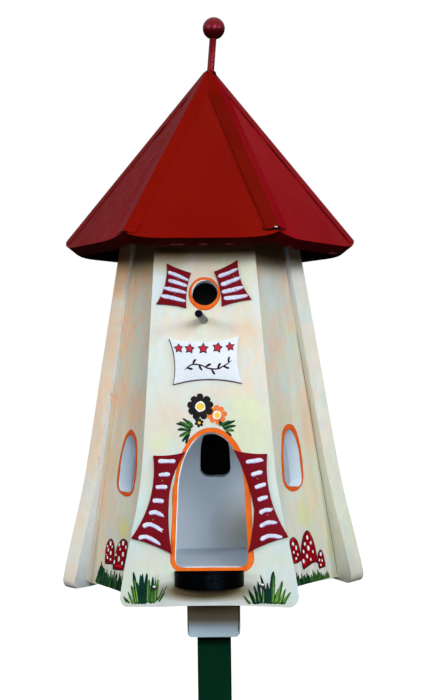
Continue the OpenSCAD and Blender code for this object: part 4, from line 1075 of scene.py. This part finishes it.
bo, bc, bh, bs, bd = (bmesh.new() for _ in range(5))
TOADS = (
    (WALL_L, [(-44.4, 38.2), (-46.2, 47.2), (-46.6, 60.0), (-41.5, 68.3), (-33.5, 72.3), (-25.9, 69.9), (-20.5, 63.8), (-18.4, 57.0), (-18.8, 47.6), (-20.4, 39.8), (-32, 38.6)],
     ((-32.6, 66.3, 2.6, 3.0), (-26.6, 62.3, 1.4, 1.9), (-41.4, 61.7, 1.7, 1.5), (-37.5, 57.2, 1.9, 2.4), (-29.1, 53.9, 2.5, 2.9), (-42.6, 50.3, .9, .9), (-38.0, 47.0, 2.0, 1.9), (-27.9, 45.6, 2.2, 1.7)),
     [(-33.2, 39), (-25.4, 39.4), (-22.9, 25), (-29.7, 25)], ()),
    (WALL_L, [(-18.7, 33.7), (-19.4, 41.8), (-15.3, 54.5), (-10.3, 66.0), (-3.0, 72.9), (5.0, 75.9), (14.0, 74.8), (19.4, 70.6), (19.4, 60.4), (17.2, 47.3), (13.6, 35.8), (-2, 34.2)],
     ((5.9, 70.3, 3.2, 3.2), (-5.3, 66.9, 2.0, 2.2), (-1.4, 61.6, 1.7, 1.9), (15.4, 65.8, 1.9, 2.6), (8.7, 56.0, 2.9, 3.2), (-12.3, 53.3, 2.0, 1.9), (-2.3, 48.9, 2.8, 3.5), (-15.6, 43.7, 2.2, 2.8), (8.8, 44.6, 2.3, 2.6)),
     [(-2.6, 35), (4.4, 35.6), (5.2, 24), (-1.0, 24)], ([(-14.5, 37.6), (-4, 40.0), (9.6, 39.4)],)),
    (WALL_R, [(-29.5, 43.9), (-30.6, 54.6), (-31.6, 63.8), (-32.6, 71.2), (-28.4, 75.9), (-22.0, 77.6), (-15.9, 75.3), (-11.1, 70.9), (-8.0, 61.3), (-6.6, 52.9), (-6.4, 46.2), (-17, 43.8)],
     ((-24.4, 69.1, 2.5, 2.5), (-17.3, 63.3, 2.2, 3.0), (-24.8, 58.4, 1.8, 2.0), (-14.9, 54.5, 1.7, 1.7), (-20.6, 50.0, 2.0, 1.7)),
     [(-24.0, 44.6), (-10.6, 45.4), (-12.9, 24), (-20.8, 24)], ([(-28.6, 72.0), (-24, 75.2), (-18.5, 74.4)], [(-27.4, 47.6), (-20, 46.4)])),
    (WALL_R, [(-4.1, 33.4), (-6.3, 37.1), (-6.9, 47.3), (-4.6, 61.0), (3.0, 73.6), (9.4, 79.7), (17.2, 82.4), (24.1, 78.7), (28.8, 72.4), (33.6, 60.5), (35.8, 48.1), (36.0, 38.1), (30, 39.4), (23.6, 39.2), (10, 36.6)],
     ((15.3, 73.3, 2.4, 2.9), (22.8, 65.6, 2.1, 2.3), (6.9, 65.5, 2.3, 2.4), (14.9, 59.4, 3.2, 3.4), (1.1, 56.4, 2.0, 2.4), (26.2, 53.6, 1.6, 2.1), (8.8, 49.6, 2.5, 2.8), (17.7, 44.3, 1.7, 2.0), (-2.0, 44.4, 2.6, 2.8)),
     [(8.1, 37.6), (22.5, 39.5), (22.1, 22), (13.0, 22)], ([(18.8, 79.0), (24.4, 72.5), (27.0, 63.0)], [(-3.4, 38.0), (2.0, 42.0), (8.0, 43.0)])),
    (WALL_R, [(37.5, 29.6), (36.6, 38.6), (38.4, 47.8), (42.3, 52.0), (47.4, 54.0), (51.5, 51.5), (53.6, 47.9), (56.2, 38.1), (56.6, 30.4), (47, 29.9)],
     ((46.6, 48.0, 2.5, 2.6), (41.0, 40.9, 1.7, 1.8), (48.3, 39.3, 1.5, 1.8), (43.4, 34.0, 1.7, 1.5)),
     [(41.0, 31), (51.0, 31), (46.2, 17), (40.6, 17)], ()))
for k, (matrix, loop, dots, stalk, lights) in enumerate(TOADS):
    L = [tuple(p) for p in curve(loop[:-1], 5, False)] + [loop[-1]]
    L = wobble(L, 0.25, 700 + k, 9)
    add_patch(bs, matrix, stalk, .05, .20)
    add_patch(bo, matrix, shrink(L, -0.25), .22, .34)
    add_patch(bc, matrix, shrink(L, 1.6), .34, .44)
    for j, pts in enumerate(lights):
        mark(bh, matrix, pts, 3.4, .36, .50, 730 + 5 * k + j, (.4, .5), .15)
    for j, (u, v, rx, ry) in enumerate(dots):
        add_patch(bd, matrix, disc(u, v, rx, 16, ry, 720 + j + 9 * k), .46, .58)
body_piece("painted_toadstool_outlines", finish_bm(bo), M["ink"])
body_piece("painted_toadstool_caps", finish_bm(bc), M["toad"])
body_piece("painted_toadstool_lights", finish_bm(bh), M["toad_hi"])
body_piece("painted_toadstool_stalks", finish_bm(bs), M["stalk"])
body_piece("painted_toadstool_dots", finish_bm(bd), M["dot"])

# ---------------------------------------------------------------- nails and screws
def dome(bm, matrix, u, v, w, r, h, seg=16, rings=4, sink=0.3):
    """A low domed nail head standing on a face."""
    rows = []
    for k in range(rings + 1):
        a = pi / 2 * k / rings
        rr, hh = r * cos(a), w + h * sin(a)
        if k == rings:
            rows.append([bm.verts.new(matrix @ Vector((u, v, hh)))])
        else:
            rows.append([bm.verts.new(matrix @ Vector((u + rr * cos(2 * pi * i / seg), v + rr * sin(2 * pi * i / seg), hh))) for i in range(seg)])
    base = [bm.verts.new(matrix @ Vector((u + r * cos(2 * pi * i / seg), v + r * sin(2 * pi * i / seg), w - sink))) for i in range(seg)]
    bm.faces.new(base[::-1])
    rows.insert(0, base)
    for k in range(len(rows) - 1):
        a, b = rows[k], rows[k + 1]
        for i in range(seg):
            j = (i + 1) % seg
            if len(b) == 1:
                bm.faces.new((a[i], a[j], b[0]))
            else:
                bm.faces.new((a[i], a[j], b[j], b[i]))


bm = bmesh.new()
for u, v in ((-37.0, 414.2), (-40.3, 396.1), (34.4, 417.0), (36.8, 399.0),
             (-57.6, 157.6), (-69.1, 109.3), (61.4, 159.0), (73.1, 113.9)):
    dome(bm, FRONT, u, v, SH, 1.15, .6)
body_piece("brass_nails", finish_bm(bm), M["brass"], True)
bm, bx = bmesh.new(), bmesh.new()
for u, v in ((-68.1, 26.6), (65.4, 27.9)):
    dome(bm, FRONT, u, v, .05, 2.3, 1.3, 24, 6)
    add_patch(bx, FRONT, disc(u + .2, v - .9, 3.2, 20, 3.0, 5), .30, .42)
body_piece("front_screws", finish_bm(bm), M["steel"], True)
body_piece("front_screw_shadows", finish_bm(bx), M["ink"])

# nails along the ridges, driven through the caps
bm = bmesh.new()
RIDGE = ROOF_SET.to_3x3()
for k, (bearing, ts) in enumerate(((-120, (.17, .79)), (-60, (.22, .71)), (0, (.20, .74)), (60, (.18, .72)), (120, (.21, .76)), (180, (.19, .73)))):
    out = Vector((cos(rad(bearing)), sin(rad(bearing)), 0))
    up = (Vector((0, 0, ROOF_R)) + out * ROOF_RISE).normalized()
    foot = out * ROOF_R + Vector((0, 0, BODY_Z + ROOF_Z))
    for t in ts:
        p = foot.lerp(Vector((0, 0, BODY_Z + ROOF_Z + ROOF_RISE)), t)
        q = up.to_track_quat("Z", "Y").to_matrix().to_4x4()
        N = ROOF_SET @ Matrix.Scale(0.001, 4) @ Matrix.Translation(p) @ q
        dome(bm, N, 0, 0, CAP_T - .30, 1.5, .55, 16, 4, 1.0)
body_piece("ridge_nails", finish_bm(bm), M["nail"], True)

# ---------------------------------------------------------------- filled seams, painted shadows in gaps, scratches and other small marks
def wedge(bm, rows):
    """A thin closed strip with a three-sided section, from rows of three points."""
    R = [[bm.verts.new(p) for p in row] for row in rows]
    for a, b in zip(R, R[1:]):
        for i in range(3):
            j = (i + 1) % 3
            bm.faces.new((a[i], a[j], b[j], b[i]))
    bm.faces.new(R[0][::-1])
    bm.faces.new(R[-1])


# paint filled up against the front-left cap
bm = bmesh.new()
RF = roof_face(0)
D2, N2 = Vector((97.5, 291.8)) / 307.7, Vector((291.8, -97.5)) / 307.7
rows = []
for i in range(25):
    l = 307.7 * (.06 + .78 * i / 24)
    p = Vector((-97.5, 0)) + D2 * l
    k = 1.0 if i > 4 else .35 + .16 * i
    a, b = p + N2 * 15.3, p + N2 * (15.9 + 4.8 * k)
    rows.append([RF @ Vector((a.x, a.y, -.3)), RF @ Vector((a.x, a.y, 1.46 * k)), RF @ Vector((b.x, b.y, -.3))])
wedge(bm, rows)
body_piece("filled_cap_seam", finish_bm(bm), M["roof_f"])
# filler between the left window wall and the board beside it
bm = bmesh.new()
rows = []
for i in range(31):
    v = 9.0 + 425.0 * i / 30
    u = -92.0 + .0957 * v
    rows.append([WALL_L @ Vector((u + 5.0, v, .10)), WALL_L @ Vector((u + .575 * 4.6 + .12, v, 4.6)), WALL_L @ Vector((u + .3, v, -.2))])
wedge(bm, rows)
body_piece("filled_wall_joint", finish_bm(bm), M["wall_l"])
# open joint beside the right window wall
bm = bmesh.new()
mark(bm, WALL_R, [(90.0 - .096 * v - .7, v) for v in (15.5, 60, 120, 180, 240, 300, 344)], .9, .04, .22, 900, (.02, .30), .25)
body_piece("wall_joint_line", finish_bm(bm), M["gap"])
# painted shadow in the gaps under the lifted ends of the front caps
bm = bmesh.new()
mark(bm, RF, [(75.6, 6.6), (77.2, 2.4), (81.0, .9), (86.0, 1.3), (91.0, 2.6), (97.2, 3.0)], 1.9, .03, .30, 910, (.12, .05), .12)
mark(bm, RF, [(89.5, 2.3), (93.5, 3.1), (97.3, 3.2)], 4.2, .03, .34, 911, (.5, .05), .05)
mark(bm, roof_face(60), [(-97.3, 3.0), (-94.0, 1.2), (-89.6, -.6)], 3.8, .03, .34, 912, (.05, .9), .05)
mark(bm, RF, [(-97.0, .4), (-93.4, -.9), (-89.0, -1.2)], 2.6, .03, .26, 913, (.1, .9), .1)
mark(bm, roof_face(-60), [(97.0, .4), (94.2, -.8)], 2.4, .03, .26, 914, (.1, .9), .1)
# painted shadow in the open seams beside the side caps
D6, N6 = Vector((-97.5, 291.8)) / 307.7, Vector((291.8, 97.5)) / 307.7
for k, (f0, f1, wd) in enumerate(((.02, .30, 1.0), (.41, .57, 2.2), (.66, .75, 1.0), (.82, .94, 2.4))):
    pts = [Vector((97.5, 0)) + D6 * (307.7 * (f0 + (f1 - f0) * i / 8)) - N6 * (16.6 + .2 * (i % 2)) for i in range(9)]
    mark(bm, roof_face(60), [tuple(p) for p in pts], wd, .03, .9, 960 + k, (.3, .3), .15)
for k, (f0, f1, wd) in enumerate(((.60, .68, 1.6), (.78, .90, 1.2))):
    pts = [Vector((-97.5, 0)) + D2 * (307.7 * (f0 + (f1 - f0) * i / 8)) + N2 * (16.6 + .2 * (i % 2)) for i in range(9)]
    mark(bm, roof_face(-60), [tuple(p) for p in pts], wd, .03, .9, 970 + k, (.3, .3), .15)
body_piece("cap_gap_shadows", finish_bm(bm), M["cover"])
# painted glint on the edge of the lifted front-right cap end
bm = bmesh.new()
mark(bm, RF, [(90.9, 4.0), (92.8, 4.2), (94.6, 3.8)], 1.1, 2.2, 3.3, 915, (.5, .5), .1)
body_piece("cap_end_bare_edge", finish_bm(bm), M["bare"])
# small marks and scratches on the roof
bm = bmesh.new()
mark(bm, RF, [(-26.0, 158.0), (-27.6, 153.0)], 1.1, .03, .18, 920, (.5, .6), .2)
mark(bm, roof_face(-60), [(-12.5, 199.5), (-14.5, 196.5)], 1.6, .03, .18, 921, (.5, .6), .2)
mark(bm, roof_face(60), [(42.0, 113.0), (45.0, 108.0)], 1.4, 1.1, 1.5, 922, (.5, .6), .2)
mark(bm, roof_face(60), [(30.4, 60.5), (31.6, 58.0)], 1.2, .03, .18, 923, (.5, .6), .2)
body_piece("roof_scratches", finish_bm(bm), M["nail"])

# blob of paint round the foot of the rod; its left and right sides are near black as painted shade
m, nt, b = new_mat("rod_foot_paint_and_shade")
t = Tree(nt)
f = t.math("ABSOLUTE", t.dot((1, 0, 0), vec=t.normal()))
t.put(b.inputs["Base Color"], t.mix(t.ramp(f, [(0.36, 0.0), (0.66, 1.0)]), t.mix(t.noise(300, 3), (0.15, 0.003, 0.002), (0.20, 0.005, 0.003)), (0.006, 0.001, 0.001)))
b.inputs["Roughness"].default_value = 0.5
b.inputs["Specular IOR Level"].default_value = 0.02
bm = bmesh.new()
rings = []
for z, r in ((1.6845, 8.0), (1.6890, 8.5), (1.6930, 8.0), (1.6962, 6.9), (1.6976, 5.0)):
    rings.append([bm.verts.new((.0045 + r * .001 * cos(rad(k * 15)) * (1 + .05 * sin(k * 1.7)), .0018 + r * .001 * sin(rad(k * 15)), z + .0006 * sin(k * 1.1)))
                  for k in range(24)])
for a, c in zip(rings, rings[1:]):
    for k in range(24):
        bm.faces.new((a[k], a[(k + 1) % 24], c[(k + 1) % 24], c[k]))
bm.faces.new(rings[0][::-1])
bm.faces.new(rings[-1])
body_piece("rod_foot_paint_and_shade", finish_bm(bm), m, smooth=True)

# dark lines down both edges of the socket's front board
SOCKET = Matrix.Translation((0, -.035, 0)) @ Matrix.Rotation(rad(90), 4, "X") @ Matrix.Scale(.001, 4)
bm = bmesh.new()
mark(bm, SOCKET, [(-32.4, 947), (-33.6, 955), (-33.8, 970), (-33.8, 986)], 1.2, .03, .2, 980, (.1, .1), .15)
mark(bm, SOCKET, [(32.6, 947), (33.6, 955), (33.8, 970), (33.8, 986)], 1.2, .03, .2, 981, (.1, .1), .15)
body_piece("socket_edge_lines", finish_bm(bm), M["gap"])

# bright cut edge of the doorway and of the entrance hole
bm = bmesh.new()
left = sorted([p for p in door_in if p[0] < DOOR_X - 16 and p[1] > 57], key=lambda p: p[1])
mark(bm, FRONT, [(u + .35, v) for u, v in left], 1.0, -.9, .42, 930, (.03, .10), .15, smooth_pts=False)
mark(bm, FRONT, [(u, 50.55 + .1 * (k % 2)) for k, u in enumerate(range(-31, 40, 5))], .9, -.9, .42, 931, (.1, .1), .15)
mark(bm, FRONT, [(HOLE_X + 15.9 * cos(rad(a)), HOLE_V + 15.9 * sin(rad(a))) for a in range(84, 196, 8)], 1.4, -1.5, .40, 932, (.3, .3), .15)
body_piece("bright_cut_edges", finish_bm(bm), M["dot"])
# painted shadow along the lower and left edges of the sign
bm = bmesh.new()
for k, (p, q, bow) in enumerate((((-43.4, 278.3), (43.2, 278.8), 6.0), ((-48.6, 337.4), (-43.5, 278.5), 4.5))):
    P, Q = Vector(p), Vector(q)
    d = (Q - P)
    nrm = Vector((-d.y, d.x)).normalized()
    mark(bm, FRONT, [tuple(P + d * (i / 12) + nrm * (4 * bow * (i / 12) * (1 - i / 12))) for i in range(13)], 1.3, .04, 1.2, 940 + k, (.02, .02), .12)
body_piece("sign_edge_lines", finish_bm(bm), M["edge_line"])

# ---------------------------------------------------------------- camera, light, floor
def look(name, loc, fw, up, f_px):
    cam = bpy.data.cameras.new(name)
    cam.sensor_fit = "VERTICAL"
    cam.sensor_height = 36.0
    cam.lens = f_px / 700.0 * 36.0
    cam.clip_start, cam.clip_end = 0.05, 200
    o = bpy.data.objects.new(name, cam)
    scene.collection.objects.link(o)
    right = fw.cross(up).normalized()
    up = right.cross(fw).normalized()
    R = Matrix((right, up, -fw)).transposed()
    o.matrix_world = Matrix.Translation(loc) @ R.to_4x4()
    return o


def camera():
    C = Vector((0.06567, -2.04325, 1.30103))
    fw = Vector((-0.03118816, 0.99946924, 0.00940954))
    up = Vector((0.01337668, -0.0089959, 0.99987006))
    return look("camera", C, fw, up, 1515.9)


scene.camera = camera()


def area(name, loc, target, size, power, colour=(1, 1, 1)):
    l = bpy.data.lights.new(name, "AREA")
    l.shape = "RECTANGLE"
    l.size, l.size_y = size
    l.energy = power
    l.color = colour
    o = bpy.data.objects.new(name, l)
    scene.collection.objects.link(o)
    o.location = loc
    o.rotation_euler = (Vector(target) - Vector(loc)).to_track_quat("-Z", "Y").to_euler()
    return o


def lamp(name, bearing, height, size, power, colour, dist=3.6):
    """A long low softbox: bearing right of the front and height over the horizon, in degrees."""
    b, h = rad(bearing), rad(height)
    loc = (dist * cos(h) * sin(b), -dist * cos(h) * cos(b), 1.25 + dist * sin(h))
    return area(name, loc, (0, 0, 1.25), size, power, colour)


lamp("key", 17, 19, (1.0, 0.7), 43, (0.95, 0.98, 1.0))
lamp("fill", 5, 9, (2.4, 0.5), 29, (0.93, 0.98, 1.03))
lamp("side_left", -54, 19, (2.2, 1.1), 45, (0.95, 0.98, 1.02))
lamp("side_right", 62, 18, (1.4, 0.7), 34, (0.95, 0.98, 1.02))
# daylight that the white room scatters about
for name, kind, at, power in (("room_glow", "POINT", (-0.030, -0.020, 1.165), 0.034), ("window_glow", "SPOT", (0.050, 0.040, 1.150), 0.040)):
    glow = bpy.data.lights.new(name, kind)
    glow.energy, glow.color, glow.shadow_soft_size = power, (0.92, 0.98, 1.0), 0.012
    glow_at = bpy.data.objects.new(name, glow)
    scene.collection.objects.link(glow_at)
    glow_at.location = at
    if kind == "SPOT":
        glow.spot_size, glow.spot_blend = rad(84), 0.5
        glow_at.rotation_euler = Vector((0.050, 0.046, 0.0)).to_track_quat("-Z", "Y").to_euler()
    glow_at.visible_camera = False

# an overcast sky: bright overhead, dim near the horizon, white to the camera
w = bpy.data.worlds.new("studio")
scene.world = w
w.use_nodes = True
nt = w.node_tree
nt.nodes.clear()
out = nt.nodes.new("ShaderNodeOutputWorld")
mixs = nt.nodes.new("ShaderNodeMixShader")
lp = nt.nodes.new("ShaderNodeLightPath")
b1 = nt.nodes.new("ShaderNodeBackground")
b2 = nt.nodes.new("ShaderNodeBackground")
tc = nt.nodes.new("ShaderNodeTexCoord")
sep = nt.nodes.new("ShaderNodeSeparateXYZ")
nt.links.new(tc.outputs["Generated"], sep.inputs[0])
cr = nt.nodes.new("ShaderNodeValToRGB")
for e, (p, c) in zip([cr.color_ramp.elements[0], cr.color_ramp.elements[1], cr.color_ramp.elements.new(0.5)],
                     [(0.06, (0.012, 0.009, 0.007, 1)), (0.42, (0.60, 0.63, 0.66, 1)), (0.22, (0.42, 0.43, 0.44, 1))]):
    e.position = p
    e.color = c
nt.links.new(sep.outputs[2], cr.inputs[0])
nt.links.new(cr.outputs[0], b1.inputs[0])
b1.inputs[1].default_value = 0.80
b2.inputs[0].default_value = (1, 1, 1, 1)
b2.inputs[1].default_value = 1.0
nt.links.new(lp.outputs["Is Camera Ray"], mixs.inputs[0])
nt.links.new(b1.outputs[0], mixs.inputs[1])
nt.links.new(b2.outputs[0], mixs.inputs[2])
nt.links.new(mixs.outputs[0], out.inputs[0])

me = bpy.data.meshes.new("floor")
s = 60.0
me.from_pydata([(-s, -s, 0), (s, -s, 0), (s, s, 0), (-s, s, 0)], [], [(0, 1, 2, 3)])
floor = bpy.data.objects.new("floor", me)
scene.collection.objects.link(floor)
fm, fnt, fb = new_mat("floor_pale")
t = Tree(fnt)
lp = fnt.nodes.new("ShaderNodeLightPath")
seen = lp.outputs["Is Camera Ray"]
pale = t.mix(t.noise(3.0, 2), (0.84, 0.84, 0.83), (0.86, 0.86, 0.855))
t.put(fb.inputs["Base Color"], t.mix(seen, (0.045, 0.040, 0.035), pale))
fb.inputs["Roughness"].default_value = 0.9
fb.inputs["Specular IOR Level"].default_value = 0.0
fb.inputs["Emission Color"].default_value = (1, 1, 1, 1)
t.put(fb.inputs["Emission Strength"], t.math("MULTIPLY", seen, 0.55))
me.materials.append(fm)

scene.view_settings.view_transform = "Standard"
scene.view_settings.look = "None"
scene.view_settings.exposure = 0.0
